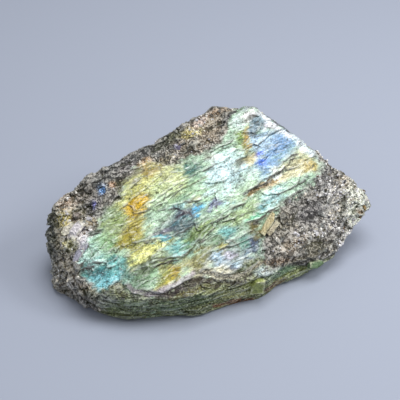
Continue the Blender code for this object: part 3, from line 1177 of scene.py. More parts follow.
    crust_patches: tuple[Patch, ...] = (
        Patch((-37.5, 6.5), (5.0, 6.0), 0, (188, 176, 146)),
        Patch((-39.1, 8.4), (2.2, 2.0), 30, (208, 192, 106), 1.0),
        Patch((-35.8, 9.4), (1.7, 1.4), 0, (54, 34, 10), 1.0),
        Patch((-37.5, 13.6), (3.6, 1.8), 25, (152, 126, 102)),
        Patch((-31.0, 13.2), (1.8, 4.0), -25, (78, 76, 80)),
        Patch((-27.1, 17.2), (1.5, 0.9), 20, (226, 220, 212)),
        Patch((-29.5, 17.0), (1.2, 1.9), -15, (92, 152, 216), 1.0, 0.4),
        Patch((-31.3, 12.4), (0.6, 0.9), 0, (96, 100, 190)),
        Patch((-30.4, 8.4), (2.6, 1.1), 10, (176, 160, 128)),
        Patch((-29.6, 10.0), (1.6, 1.1), 20, (108, 110, 104), 1.0),
        Patch((-36.3, 5.0), (2.4, 1.3), 20, (240, 232, 230)),
        Patch((-33.5, 4.1), (2.6, 1.6), 15, (244, 236, 236)),
        Patch((-33.9, 1.4), (1.0, 3.6), -38, (200, 196, 208)),
        Patch((-31.0, 4.8), (1.2, 0.5), 15, (52, 48, 42), 1.0),
        Patch((-37.0, 1.9), (2.2, 1.8), 0, (206, 202, 150), 1.0),
        Patch((-38.9, -6.0), (4.6, 6.0), 0, (148, 140, 122)),
        Patch((-40.4, -2.8), (0.8, 2.2), 15, (62, 56, 44)),
        Patch((-25.5, -10.4), (4.5, 2.0), -5, (92, 98, 66)),
        Patch((-24.3, -8.8), (1.3, 0.8), 0, (166, 168, 146), 1.0),
        Patch((-27.2, -12.4), (1.5, 0.8), 0, (146, 152, 142), 1.0),
        Patch((-36.0, -8.6), (2.6, 1.6), -30, (176, 170, 160)),
        Patch((-32.4, -9.7), (2.8, 1.2), -15, (146, 128, 94)),
        Patch((-30.4, -10.8), (3.0, 1.4), -10, (84, 88, 58)),
        # The dark olive left end: its own olive colour, darkened further as painted shade on the
        # side that faces away from the light.
        Patch((-43.2, 5.0), (2.4, 8.0), 0, (54, 58, 34), 1.0),
        Patch((-43.6, -5.0), (1.2, 3.5), 0, (150, 148, 134)),
        Patch((-30.4, 19.6), (4.2, 2.0), 42, (104, 102, 98)),
        Patch((-26.0, 22.3), (5.0, 1.7), 33, (88, 88, 86)),
        Patch((-33.7, 15.4), (3.6, 2.0), 30, (82, 76, 68)),
        Patch((-27.8, 19.4), (3.0, 1.3), 35, (82, 82, 78)),
        Patch((-21.2, 25.2), (6.0, 1.3), 30, (88, 88, 88)),
        Patch((-16.7, 27.3), (6.0, 1.4), 28, (74, 74, 72)),
        Patch((-11.9, 29.8), (4.0, 1.5), 33, (82, 84, 70)),
        Patch((-22.5, 22.0), (3.0, 1.6), 30, (124, 120, 118)),
        Patch((-2.0, 32.6), (9.0, 3.4), 40, (138, 122, 98)),
        Patch((-5.6, 32.2), (3.0, 1.2), 20, (204, 192, 114), 1.0),
        Patch((-10.2, 31.2), (2.2, 1.1), 33, (84, 86, 54)),
        Patch((-9.4, 28.2), (1.1, 0.6), 20, (146, 142, 190)),
        Patch((-5.3, 28.4), (3.0, 1.2), 38, (120, 116, 100)),
        Patch((-3.1, 35.0), (3.0, 1.0), 42, (186, 164, 150)),
        Patch((0.2, 34.4), (2.0, 1.6), 42, (140, 128, 106)),
        Patch((1.9, 38.4), (2.6, 0.9), 15, (132, 102, 66)),
        Patch((4.2, 36.4), (1.4, 2.4), 20, (72, 70, 62)),
        Patch((-18.2, 23.7), (2.2, 1.1), 33, (176, 142, 96)),
        Patch((-15.5, 21.6), (2.2, 1.3), 33, (116, 88, 44)),
        Patch((-12.8, 24.4), (3.5, 1.3), 30, (146, 138, 110)),
        Patch((-24.2, 18.1), (2.2, 1.5), 20, (74, 70, 36), 1.0),
        Patch((-26.7, 17.6), (0.9, 1.0), 0, (146, 106, 66)),
        Patch((31.9, 19.0), (3.6, 4.6), 35, (132, 130, 128)),
        Patch((24.5, 15.6), (4.6, 1.5), 33, (132, 132, 124)),
        Patch((33.3, 15.3), (2.8, 1.4), 0, (190, 188, 184)),
        Patch((27.4, 10.3), (5.0, 3.0), 30, (88, 86, 88), 0.9),
        Patch((33.6, 10.0), (2.8, 3.6), -10, (172, 170, 164)),
        Patch((30.0, 5.6), (6.4, 2.2), 24, (156, 152, 146)),
        Patch((34.6, 6.4), (2.2, 1.8), 0, (176, 172, 168)),
        Patch((23.6, 2.8), (3.0, 1.4), 25, (162, 156, 148)),
        Patch((22.5, 4.5), (3.0, 2.2), 25, (118, 112, 104)),
        Patch((21.6, 1.6), (4.0, 1.6), 25, (146, 130, 110)),
        Patch((19.2, 7.4), (3.6, 3.0), 50, (104, 98, 80)),
        Patch((28.3, 1.0), (3.0, 2.2), 10, (80, 76, 54), 1.0),
        Patch((17.1, -2.7), (5.0, 0.9), 6, (122, 98, 72)),
        Patch((24.5, -2.4), (4.0, 0.9), 12, (84, 78, 58)),
        Patch((15.1, 7.8), (2.4, 1.0), 60, (214, 200, 140)),
        Patch((37.2, 18.4), (2.2, 1.6), -30, (190, 176, 154)),
        Patch((41.0, 13.0), (3.6, 6.0), 0, (222, 226, 208)),
        Patch((39.1, 15.1), (2.0, 1.8), 0, (226, 228, 212)),
        Patch((40.3, 7.6), (1.8, 1.6), 0, (222, 226, 206)),
        Patch((41.4, 10.3), (1.1, 1.0), 0, (108, 84, 46), 1.0),
        Patch((36.4, 12.0), (1.0, 3.6), -15, (92, 92, 74)),
        Patch((42.0, 18.0), (3.6, 0.8), -42, (110, 108, 92)),
        Patch((36.6, 2.4), (0.8, 3.4), -20, (216, 212, 202)),
        Patch((33.4, 0.6), (2.0, 1.4), 30, (128, 124, 116)),
        Patch((35.6, 1.6), (1.2, 1.4), 0, (196, 196, 196)),
    )
    wall_patches: tuple[Patch, ...] = (
        Patch((-20, -12), (10, 3), 0, (118, 134, 96)),
        Patch((-24.5, -10.4), (3.5, 1.6), -5, (94, 100, 66)),
        Patch((-24.3, -8.8), (1.3, 0.8), 0, (166, 168, 146), 1.0),
        Patch((-20.6, -10.9), (2.6, 0.9), -35, (70, 74, 50)),
        Patch((-28, -12), (3, 1.8), 0, (150, 154, 146)),
        Patch((-23.2, -10.6), (2.2, 0.9), 0, (76, 76, 44)),
        Patch((-15.8, -12.6), (5, 0.8), 8, (140, 160, 126)),
        # The purple-brown band under the lilac rim: its own colour, darkened as painted shadow
        # under the rim.
        Patch((-9.5, -9.3), (7.5, 1.0), 22, (84, 68, 64)),
        Patch((-5.0, -7.2), (3.5, 1.2), 25, (92, 78, 58)),
        Patch((-8, -10.8), (8, 0.9), 15, (116, 104, 48)),
        Patch((0, -12), (14, 1.6), 8, (96, 114, 72)),
        Patch((7, -10.8), (5, 1.8), 10, (186, 184, 118)),
        Patch((3.4, -5.8), (7, 1.3), -4, (214, 204, 176)),
        Patch((4, -8.2), (9, 0.9), -4, (96, 82, 58)),
        Patch((5, -9.4), (9, 0.7), 5, (122, 128, 72)),
        Patch((1, -13.4), (7, 0.7), 10, (118, 124, 70)),
        Patch((11.6, -9.3), (2.3, 1.9), 0, (142, 152, 74)),
        Patch((15.0, -5.0), (3.4, 1.4), 8, (206, 222, 220), 1.0),
        Patch((19, -5.6), (4.5, 1.3), 20, (118, 148, 112)),
        Patch((22, -6.6), (6, 1.0), 27, (150, 160, 92)),
        Patch((28.5, -3.4), (2.6, 1.3), 15, (156, 176, 144)),
        Patch((8, -13.6), (3.2, 0.7), 12, (150, 92, 56)),
        Patch((16.5, -9.6), (4, 0.7), 27, (128, 92, 60)),
    )
    veins: tuple[Vein, ...] = (
        Vein(((-22.1, -6.7), (-21.6, -8.1), (-20.2, -9.6), (-16.4, -10.4), (-14.1, -10.1),
              (-11.5, -8.8), (-8.0, -7.1), (-5.4, -5.6), (-3.1, -4.4)), 0.62, (192, 180, 186)),
        Vein(((-4.5, -4.2), (-3.1, -4.5), (-0.5, -5.2), (2.1, -6.0), (5.5, -6.3), (8.9, -5.1),
              (11.9, -3.4), (13.8, -1.9)), 0.6, (240, 230, 202)),
        # Painted shadow: a dark band under the lilac rim.
        Vein(((-13.3, -11.4), (-10.3, -10.4), (-7.2, -8.9), (-4.1, -6.9), (-1.6, -6.4)), 0.75,
              (70, 54, 54)),
        # Painted shadow: a dark band under the rim of the swirl plate.
        Vein(((-1.6, -6.7), (2.1, -7.5), (5.8, -7.9), (9.2, -6.7), (11.6, -5.2)), 0.5,
              (58, 48, 38)),
        # Painted shadow: the dark hollow under the curled rim at the front.
        Vein(((-8.0, -8.8), (-5.4, -7.6), (-2.4, -7.0), (0.4, -7.5)), 0.8, (62, 52, 38), 1.0),
        Vein(((9.4, 39.0), (10.6, 39.9), (12.2, 40.0), (14.3, 39.2), (15.9, 37.2), (17.4, 35.8),
              (20.2, 33.9), (22.6, 31.6)), 0.3, (74, 76, 86), 0.9),
        # Painted highlight: the pale line along the upper rim, continuing the face's pale rim
        # patch.
        Vein(((12.6, 38.8), (14.0, 37.8), (15.4, 36.1), (17.2, 34.6), (19.7, 32.9), (21.8, 31.1)),
              0.5, (238, 242, 246), 0.8),
        Vein(((7.5, 38.8), (5.6, 37.8), (4.2, 36.2), (3.0, 33.9)), 0.5, (48, 50, 52), 1.0),
        Vein(((13.4, 34.8), (12.6, 32.6), (11.2, 31.4)), 0.25, (74, 90, 96), 0.9),
        Vein(((-3.1, -8.5), (0.8, -8.0), (5.3, -8.5), (9.0, -7.8)), 0.24, (150, 150, 104)),
        Vein(((-4.1, -9.7), (-0.5, -10.1), (3.4, -9.2), (8.5, -8.9)), 0.24, (146, 150, 104)),
        Vein(((-1.8, -12.3), (2.1, -11.4), (6.4, -11.1), (9.6, -10.1)), 0.24, (150, 158, 116)),
        Vein(((-15.9, -11.7), (-12.1, -12.6), (-8.3, -12.1), (-5.2, -10.8)), 0.28,
              (150, 166, 130)),
        Vein(((-21.1, -13.1), (-16.0, -14.1), (-10.9, -14.7), (-7.0, -14.2)), 0.22,
              (120, 142, 112)),
        Vein(((-0.2, -14.5), (2.7, -14.1), (5.9, -13.2), (8.6, -12.5)), 0.5, (152, 98, 58)),
        Vein(((34.6, -1.2), (36.5, 1.0), (38.1, 3.7), (38.5, 5.9)), 0.5, (226, 222, 214)),
        Vein(((21.5, -7.9), (25.6, -5.9), (29.2, -4.4), (32.6, -2.5)), 0.3, (168, 176, 120)),
        Vein(((-10.9, 12.0), (-8.5, 11.0), (-6.1, 10.2), (-3.5, 8.8)), 0.3, (50, 44, 58), 1.0),
        Vein(((-9.7, 8.9), (-7.4, 10.0), (-4.8, 11.2)), 0.3, (50, 44, 58), 1.0),
        Vein(((2.4, 13.6), (1.5, 12.4), (1.2, 11.2)), 0.25, (56, 50, 64), 1.0),
        Vein(((-32.6, 4.2), (-30.8, 5.2), (-28.8, 5.6)), 0.45, (84, 88, 80), 0.9),
        Vein(((-0.6, 2.1), (-0.8, 3.3), (0.6, 4.2), (2.4, 4.2), (2.7, 2.9), (1.6, 1.6)), 0.24,
              (92, 106, 82), 0.8),
        Vein(((2.7, 3.1), (4.8, 3.4), (6.3, 2.4), (7.3, 0.9), (6.8, -0.9), (4.9, -1.9)), 0.24,
              (96, 102, 86), 0.8),
        Vein(((9.3, 14.5), (12.5, 16.4), (15.8, 18.0), (18.6, 19.6)), 0.3, (150, 124, 74)),
        Vein(((-20.5, 9.2), (-16.9, 11.3), (-9.5, 15.8), (-4.7, 18.2), (0.7, 21.3)), 0.2,
              (84, 96, 56)),
        Vein(((-1.5, 6.3), (4.8, 8.4), (12.4, 11.0), (18.5, 14.2)), 0.2, (84, 100, 62)),
        Vein(((-21.2, -3.9), (-14.5, -1.3), (-7.2, -1.4), (-4.1, 2.2), (0.6, 6.3)), 0.2,
              (84, 92, 56)),
    )

    @staticmethod
    def cover(
        ground: np.ndarray, patches: tuple[Patch, ...], place: np.ndarray, frayed: np.ndarray
    ) -> np.ndarray:
        """Lay patches over a ground colour.

        Args:
            ground: Linear colour at each point.
            patches: The patches, the first at the bottom.
            place: Each point on the layout plane, in millimetres.
            frayed: Noise that frays the patches' edges, about -1 to 1.

        Returns:
            The linear colour at each point.
        """
        for patch in patches:
            turn = math.radians(patch.turn)
            x, y = (place - np.array(patch.centre)).T
            along = (x * math.cos(turn) + y * math.sin(turn)) / patch.half[0]
            across = (y * math.cos(turn) - x * math.sin(turn)) / patch.half[1]
            far = np.hypot(along, across) + 0.35 * frayed
            inside = smooth_step(1 + patch.softness, 1 - patch.softness, far)
            ground = blend(ground, patch.colour, patch.strength * inside)
        return ground

    def stain(self, ground: np.ndarray, points: np.ndarray) -> np.ndarray:
        """Lay broad stains over the crust's ground colour.

        Args:
            ground: Linear colour at each point.
            points: The points in millimetres.

        Returns:
            The linear colour at each point.
        """
        for number, colour in enumerate(self.crust_stains):
            mask = smooth_step(0.0, 0.45, wander(points, 7.0 - number, 71 + number))
            ground = blend(ground, colour, self.stain_share * mask)
        return ground

    def plate_shift(self, skin: Skin) -> np.ndarray:
        """How far each cleavage plate's colours are moved from its neighbours'.

        Args:
            skin: The skin's points.

        Returns:
            The move on the layout plane in millimetres, one row for each point.
        """
        place = skin.cleavage_place()
        shift = np.zeros((len(place), 2))
        for crystals, reach in self.shifts:
            tone, _, _ = crystals.read(place)
            other = (tone * 7.31) % 1.0
            shift += reach * (np.stack([tone, other], axis=1) - 0.5)
        return shift

    def paint(self, skin: Skin, masks: dict[Region, np.ndarray]) -> np.ndarray:
        """Paint the points of a skin.

        Args:
            skin: The skin's points.
            masks: How much of each region every point belongs to.

        Returns:
            The linear colour at each point.
        """
        stretched = skin.cleavage_place() / np.array([2.6, 1.0, 1.0])
        streaks = wander(stretched, 1.0, 51)
        crumbs = wander(skin.points, 1.3, 54)
        warp = wander_along(stretched, 1.8, (52, 53))
        place = skin.layout_place() + 0.7 * warp
        shifted = place + self.plate_shift(skin)
        steady = skin.layout_place() + 0.45 * warp
        layers = (
            (Region.FACE, self.face_ground, self.face_patches, streaks, shifted),
            (Region.CRUST, self.crust_ground, self.crust_patches, crumbs, steady),
            (Region.WALL, self.wall_ground, self.wall_patches, crumbs, place),
        )
        lean = np.array([0.0, -math.sin(LAYOUT_LEAN), math.cos(LAYOUT_LEAN)])
        facing = smooth_step(-0.1, 0.2, skin.normals @ lean)
        colour = np.zeros((len(place), 3))
        for region, ground, patches, frayed, spot in layers:
            base = np.tile(np.array(linear(ground)), (len(place), 1))
            layer = self.cover(base, patches, spot, frayed)
            if region is Region.CRUST:
                hidden = self.stain(base, skin.points)
                layer = hidden + (layer - hidden) * facing[:, None]
            if region is Region.FACE:
                grey = layer.mean(axis=1, keepdims=True)
                layer = grey + (layer - grey) * self.vividness
            colour += layer * masks[region][:, None]
        place = skin.layout_place() + 0.25 * warp
        for vein in self.veins:
            across, fade = across_line(vein.line, place)
            near = smooth_step(1.35, 0.65, np.abs(across) / vein.half + 0.35 * crumbs)
            mask = vein.strength * facing * smooth_step(0, 0.4, fade) * near
            colour = blend(colour, vein.colour, mask)
        return np.clip(colour, *self.limits)


class Board:
    """Adds nodes to a shader tree and wires them."""

    def __init__(self, tree: bpy.types.NodeTree) -> None:
        """Start on an existing tree."""
        self.tree = tree

    def add(self, kind: str, inputs: dict | None = None, **settings: object) -> bpy.types.Node:
        """Add a node.

        Args:
            kind: The node's type name.
            inputs: Input name or index to a value, or to the socket that feeds it.
            **settings: The node's own properties.

        Returns:
            The new node.
        """
        node = self.tree.nodes.new(kind)
        for name, value in settings.items():
            setattr(node, name, value)
        self.feed(node, inputs or {})
        return node

    def feed(self, node: bpy.types.Node, inputs: dict) -> None:
        """Give a node's inputs their values.

        Args:
            node: The node.
            inputs: Input name or index to a value, or to the socket that feeds it.
        """
        for key, value in inputs.items():
            if isinstance(value, bpy.types.NodeSocket):
                self.tree.links.new(value, node.inputs[key])
            else:
                node.inputs[key].default_value = value

    def math(self, operation: str, *values: object, clamp: bool = False) -> bpy.types.NodeSocket:
        """Do one step of arithmetic.

        Args:
            operation: The Math node's operation.
            *values: What it works on.
            clamp: Whether the result is held in 0 to 1.

        Returns:
            The result.
        """
        inputs = dict(enumerate(values))
        node = self.add("ShaderNodeMath", inputs, operation=operation, use_clamp=clamp)
        return node.outputs[0]

    def times(self, first: object, second: object) -> bpy.types.NodeSocket:
        """The product of two values."""
        return self.math("MULTIPLY", first, second)

    def plus(self, first: object, second: object) -> bpy.types.NodeSocket:
        """The sum of two values."""
        return self.math("ADD", first, second)

    def larger(self, first: object, second: object) -> bpy.types.NodeSocket:
        """The larger of two values."""
        return self.math("MAXIMUM", first, second)

    def vector(self, operation: str, *values: object) -> bpy.types.NodeSocket:
        """A Vector Math node's vector result."""
        inputs = dict(enumerate(values))
        return self.add("ShaderNodeVectorMath", inputs, operation=operation).outputs[0]

    def scaled(self, vector: object, factor: object) -> bpy.types.NodeSocket:
        """A vector or a colour times a factor."""
        inputs = {0: vector, "Scale": factor}
        return self.add("ShaderNodeVectorMath", inputs, operation="SCALE").outputs[0]

    def parts(self, vector: object) -> Sockets:
        """The three parts of a vector."""
        return self.add("ShaderNodeSeparateXYZ", {0: vector}).outputs

    def joined(self, *parts: object) -> bpy.types.NodeSocket:
        """Three values as one vector."""
        return self.add("ShaderNodeCombineXYZ", dict(enumerate(parts))).outputs[0]

    def lightness(self, colour: object) -> bpy.types.NodeSocket:
        """How light a colour is."""
        return self.add("ShaderNodeRGBToBW", {0: colour}).outputs[0]

    def mix(self, factor: object, low: object, high: object) -> bpy.types.NodeSocket:
        """A mix of two colours."""
        return self.add("ShaderNodeMix", {0: factor, 6: low, 7: high}, data_type="RGBA").outputs[2]

    def spread(
        self, value: object, within: Span, to: Span = (0.0, 1.0), smooth: bool = False
    ) -> bpy.types.NodeSocket:
        """A value mapped from one range to another and held inside it.

        Args:
            value: The value.
            within: Where the value's range starts and ends. It may run downwards.
            to: What the value becomes at the start and at the end of that range.
            smooth: Whether the value eases in and out.

        Returns:
            The mapped value.
        """
        inputs = dict(enumerate((value, *within, *to)))
        kind = "SMOOTHSTEP" if smooth else "LINEAR"
        return self.add("ShaderNodeMapRange", inputs, interpolation_type=kind).outputs[0]

    def noise(
        self, place: object, scale: float, detail: float, rough: float
    ) -> bpy.types.NodeSocket:
        """A noise texture's value."""
        inputs = {"Vector": place, "Scale": scale, "Detail": detail, "Roughness": rough}
        return self.add("ShaderNodeTexNoise", inputs).outputs[0]

    def attribute(self, name: str) -> bpy.types.NodeSocket:
        """A number stored on the piece's points."""
        return self.add("ShaderNodeAttribute", attribute_name=name).outputs["Fac"]

    def paint(self) -> bpy.types.NodeSocket:
        """The colour painted on the piece's points."""
        return self.add("ShaderNodeAttribute", attribute_name="paint").outputs["Color"]


def rgba(colour: Screen) -> tuple[float, float, float, float]:
    """A screen colour in 0 to 255 as an opaque linear colour."""
    return (*linear(colour), 1.0)


def new_material(name: str) -> tuple[bpy.types.Material, Board, bpy.types.Node]:
    """Start a material.

    Args:
        name: The material's name.

    Returns:
        The material, the board for its nodes, and its shader.
    """
    material = bpy.data.materials.new(name)
    material.use_nodes = True
    tree = material.node_tree
    return material, Board(tree), tree.nodes["Principled BSDF"]


@dataclass(frozen=True)
class MineralTexture:
    """The fine texture that every finish shares, as one node group.

    Scales are in features per metre.

    Attributes:
        name: The group's name.
        sway: How far the cracks sway, in metres.
        drift: The scale of that sway.
        streak: Scale, detail and roughness of the streaks along the cleavage.
        crumb: The same for crumbs, which have no direction.
        blotch: The same for broad blotches.
        cell: The scale of the grains that have one tone each.
        crack: Scale, width and irregularity of the cracks along the cleavage.
        joint: The same for the joints between blocks.
        joint_stretch: How long those blocks are along the cleavage, 1 for as long as wide.
        page_stretch: How much places are shortened along and across the front wall's pages.
    """

    name: str = "mineral_texture"
    sway: float = 0.0009
    drift: float = 450.0
    streak: Triple = (1500.0, 3.0, 0.62)
    crumb: Triple = (2400.0, 3.0, 0.68)
    blotch: Triple = (330.0, 2.0, 0.5)
    cell: float = 1150.0
    crack: Triple = (270.0, 0.034, 0.95)
    joint: Triple = (420.0, 0.05, 0.65)
    joint_stretch: float = 0.6
    page_stretch: Span = (0.36, 0.4)

    def group(self) -> bpy.types.NodeTree:
        """Build the node group the first time it is asked for.

        Returns:
            The group.
        """
        if self.name in bpy.data.node_groups:
            return bpy.data.node_groups[self.name]
        tree = bpy.data.node_groups.new(self.name, "ShaderNodeTree")
        spot = tree.interface.new_socket("Place", in_out="INPUT", socket_type="NodeSocketVector")
        spot.hide_value = True
        tree.interface.new_socket("Stretch", in_out="INPUT", socket_type="NodeSocketFloat")
        board = Board(tree)
        inside = board.add("NodeGroupInput").outputs
        place = inside["Place"]
        inputs = {"Vector": place, "Scale": self.drift, "Detail": 2.0}
        drift = board.add("ShaderNodeTexNoise", inputs)
        sway = board.vector("SUBTRACT", drift.outputs["Color"], (0.5, 0.5, 0.5))
        swayed = board.vector("ADD", place, board.scaled(sway, self.sway))
        streaked = self.stretched(board, swayed, inside["Stretch"])
        blocky = self.stretched(board, swayed, self.joint_stretch)
        cells = board.add("ShaderNodeTexVoronoi", {"Vector": swayed, "Scale": self.cell})
        results = {
            "Streak": board.noise(streaked, *self.streak),
            "Crumb": board.noise(place, *self.crumb),
            "Blotch": board.noise(place, *self.blotch),
            "Crack": self.lines(board, streaked, *self.crack),
            "Joint": self.lines(board, blocky, *self.joint),
            "Cell": board.parts(cells.outputs["Color"])[0],
            "Page": board.noise(self.paged(board, swayed), *self.streak),
        }
        for name in results:
            tree.interface.new_socket(name, in_out="OUTPUT", socket_type="NodeSocketFloat")
        board.add("NodeGroupOutput", results)
        return tree

    @staticmethod
    def stretched(board: Board, place: object, stretch: object) -> bpy.types.NodeSocket:
        """Turn the place so that X runs along the cleavage, and shorten X by the stretch.

        Args:
            board: The group's board.
            place: The place.
            stretch: What X is multiplied by.

        Returns:
            The turned place.
        """
        inputs = {"Vector": place, "Rotation": (0, 0, -CLEAVAGE_ANGLE)}
        x, y, z = board.parts(board.add("ShaderNodeMapping", inputs).outputs[0])
        return board.joined(board.times(x, stretch), y, z)

    def paged(self, board: Board, place: object) -> bpy.types.NodeSocket:
        """Flatten the place so that noise runs in pages along the front wall.

        Args:
            board: The group's board.
            place: The place.

        Returns:
            The flattened place.
        """
        x, y, z = board.parts(place)
        lift = board.math("SUBTRACT", z, board.times(x, PAGE_SLANT))
        along, across = self.page_stretch
        return board.joined(board.times(x, along), board.times(y, across), lift)

    @staticmethod
    def lines(
        board: Board, place: object, scale: float, width: float, chance: float
    ) -> bpy.types.NodeSocket:
        """Draw thin lines between cells.

        Args:
            board: The group's board.
            place: The place.
            scale: How many cells there are to a metre.
            width: How wide the lines are, as a share of a cell.
            chance: How irregular the cells are, 0 to 1.

        Returns:
            1 on a line, and 0 away from it.
        """
        inputs = {"Vector": place, "Scale": scale, "Randomness": chance}
        cells = board.add("ShaderNodeTexVoronoi", inputs, feature="DISTANCE_TO_EDGE")
        return board.spread(cells.outputs["Distance"], (width, 0.25 * width), smooth=True)

    def use(self, board: Board, stretch: float) -> Sockets:
        """Put the texture in a material.

        Args:
            board: The material's board.
            stretch: How short the streaks' noise is along the cleavage, 1 for no streaks.

        Returns:
            The group's outputs.
        """
        coordinates = board.add("ShaderNodeTexCoord").outputs["Object"]
        node = board.add("ShaderNodeGroup", node_tree=self.group())
        board.feed(node, {"Place": coordinates, "Stretch": stretch})
        return node.outputs


@dataclass(frozen=True)
class StoneFinish:
    """Broken feldspar: painted flashes with glassy plates, cracks and a speckled crust.

    Attributes:
        face_roughness: How rough the cleaved face is.
        crust_roughness: How rough the crust is.
        flash: How metallic the face is.
        coat: How much of a glassy coat the face has.
        coat_roughness: How rough that coat is.
        gloss: How strong the reflections are.
        bending: How strongly feldspar bends light.
        stretch: How short the streaks' noise is along the cleavage.
        relief: How strong the fine bumps are.
        relief_depth: How deep they are, in metres.
        seam: The gap to the next joint at which a joint starts and ends to show.
        darkest: No crystal is darker than this share of its paint.
        white: The painted highlights, on the ridges and in the glints.
        crack: The cracks, and the painted shade in the hollows.
        crust_dark: The dark minerals in the crust.
        crust_light: The pale minerals in the crust.
        wall_glint: The painted highlights on the front wall: glints, and the tops of its pages that
            face up.
    """

    face_roughness: float = 0.36
    crust_roughness: float = 0.5
    flash: float = 0.24
    coat: float = 0.35
    coat_roughness: float = 0.14
    gloss: float = 0.3
    bending: float = 1.56
    stretch: float = 0.3
    relief: float = 0.7
    relief_depth: float = 0.0003
    seam: Span = (0.16, 0.02)
    darkest: float = 0.2
    white: Screen = (246, 252, 246)
    crack: Screen = (74, 80, 48)
    crust_dark: Screen = (46, 42, 38)
    crust_light: Screen = (238, 233, 224)
    wall_glint: Screen = (206, 214, 176)

    def build(self) -> bpy.types.Material:
        """Build the finish.

        Returns:
            The material.
        """
        material, board, shader = new_material("Labradorite")
        texture = MineralTexture().use(board, self.stretch)
        face, wall = board.attribute("face"), board.attribute("wall")
        colour = board.mix(face, self.crust(board, texture), self.face(board, texture))
        colour = board.mix(wall, colour, self.wall(board, texture))
        glassy = board.larger(face, board.times(wall, 0.3))
        rough = board.spread(glassy, (0, 1), (self.crust_roughness, self.face_roughness))
        height = board.plus(board.times(texture["Streak"], 0.6), texture["Crumb"])
        height = board.math("SUBTRACT", height, board.times(texture["Crack"], 0.25))
        bumps = {"Strength": self.relief, "Distance": self.relief_depth, "Height": height}
        uneven = board.spread(texture["Crumb"], (0.3, 0.7), (-0.06, 0.1))
        board.feed(shader, {
            "Base Color": self.ridge_highlight_and_hollow_shade(board, colour),
            "Roughness": board.plus(rough, uneven),
            "Metallic": board.times(face, self.flash),
            "Normal": board.add("ShaderNodeBump", bumps).outputs[0],
            "IOR": self.bending,
            "Specular IOR Level": self.gloss,
            "Coat Weight": board.times(glassy, self.coat),
            "Coat Roughness": self.coat_roughness,
        })
        return material

    def ridge_highlight_and_hollow_shade(self, board: Board, colour: bpy.types.NodeSocket) -> bpy.types.NodeSocket:
        """Paint highlights on the ridges and shade in the hollows.

        Args:
            board: The material's board.
            colour: The colour before the painted highlights and shade.

        Returns:
            The colour with painted highlights on the ridges and painted shade in the hollows.
        """
        fine, broad = board.attribute("hollow_fine"), board.attribute("hollow_broad")
        most = board.spread(board.lightness(board.paint()), (0.08, 0.4), (0.08, 0.3))
        # Painted highlight: ridges are lightened towards white, more where the paint is light.
        highlight_share = board.times(board.spread(fine, (-0.02, -0.07), smooth=True), most)
        colour = board.mix(highlight_share, colour, rgba(self.white))
        # Painted shade: fine and broad hollows are darkened towards the crack colour.
        fine_share = board.spread(fine, (0.05, 0.14), (0, 0.3), smooth=True)
        broad_share = board.spread(broad, (0.14, 0.6), (0, 0.2), smooth=True)
        sunk = board.math("ADD", fine_share, broad_share, clamp=True)
        return board.mix(sunk, colour, rgba(self.crack))

    def seams(self, board: Board) -> bpy.types.NodeSocket:
        """The joints between the crystals that the skin is carved in: 1 on a joint."""
        return board.spread(board.attribute("gap"), self.seam, smooth=True)

    def face(self, board: Board, texture: Sockets) -> bpy.types.NodeSocket:
        """Colour the cleaved face.

        Plates are lighter and darker than the paint, with painted white glints as highlights and
        thin cracks.

        Args:
            board: The material's board.
            texture: The outputs of the mineral texture.

        Returns:
            The face's colour.
        """
        streak, crumb, blotch = texture["Streak"], texture["Crumb"], texture["Blotch"]
        light = board.lightness(board.paint())
        fine = board.plus(
            board.spread(streak, (0.32, 0.68), (-0.56, 0.56)),
            board.spread(crumb, (0.3, 0.7), (-0.56, 0.56)),
        )
        tone = board.plus(board.spread(board.attribute("tone"), (0, 1), (-0.18, 0.18)), fine)
        shade = board.larger(board.plus(tone, 1.05), self.darkest)
        colour = board.scaled(board.paint(), shade)

        # Painted highlights: white glints where the streaks are brightest.
        glint = board.spread(streak, (0.56, 0.68), smooth=True)
        glint = board.times(glint, board.spread(blotch, (0.3, 0.6)))
        colour = board.mix(board.times(glint, 0.6), colour, rgba(self.white))
        mixed = board.plus(board.times(streak, 0.68), board.times(crumb, 0.32))
        dark = board.times(board.spread(mixed, (0.42, 0.32), smooth=True), 0.65)
        dark = board.times(dark, board.spread(light, (0.35, 0.8), (1.0, 0.8)))
        colour = board.mix(dark, colour, rgba(self.crack))

        seam = board.times(self.seams(board), board.spread(blotch, (0.4, 0.62), (0.0, 0.35)))
        crack = board.times(texture["Crack"], board.spread(blotch, (0.38, 0.6), (0.05, 0.5)))
        joint = board.times(texture["Joint"], board.spread(blotch, (0.6, 0.46), (0.0, 0.32)))
        joint = board.times(joint, board.spread(light, (0.3, 0.65), (0.3, 1.0)))
        lines = board.larger(board.larger(seam, crack), joint)
        return board.mix(lines, colour, rgba(self.crack))

    def crust(self, board: Board, texture: Sockets) -> bpy.types.NodeSocket:
        """Colour the crust.

        Pale and dark crystals lie side by side, and more of them are pale where the paint is light.

        Args:
            board: The material's board.
            texture: The outputs of the mineral texture.

        Returns:
            The crust's colour.
        """
        paint = board.paint()
        light = board.lightness(paint)
        fine = board.plus(board.times(texture["Crumb"], 1.3), board.times(texture["Streak"], 0.2))
        tone = board.plus(board.times(board.attribute("tone"), 0.2), fine)
        speck = board.plus(board.times(texture["Cell"], 0.3), tone)
        colour = board.scaled(paint, board.spread(speck, (0.8, 1.22), (0.1, 2.0)))

        pale = board.spread(speck, (1.06, 1.13), smooth=True)
        pale = board.times(pale, board.spread(light, (0.05, 0.35), (0.7, 1.0)))
        dark = board.spread(speck, (0.94, 0.85), smooth=True)
        dark = board.times(dark, board.spread(light, (0.1, 0.5), (0.95, 0.7)))
        lit = board.mix(0.5, board.scaled(paint, 2.2), rgba(self.crust_light))
        dim = board.mix(0.4, board.scaled(paint, 0.2), rgba(self.crust_dark))
        colour = board.mix(dark, board.mix(pale, colour, lit), dim)

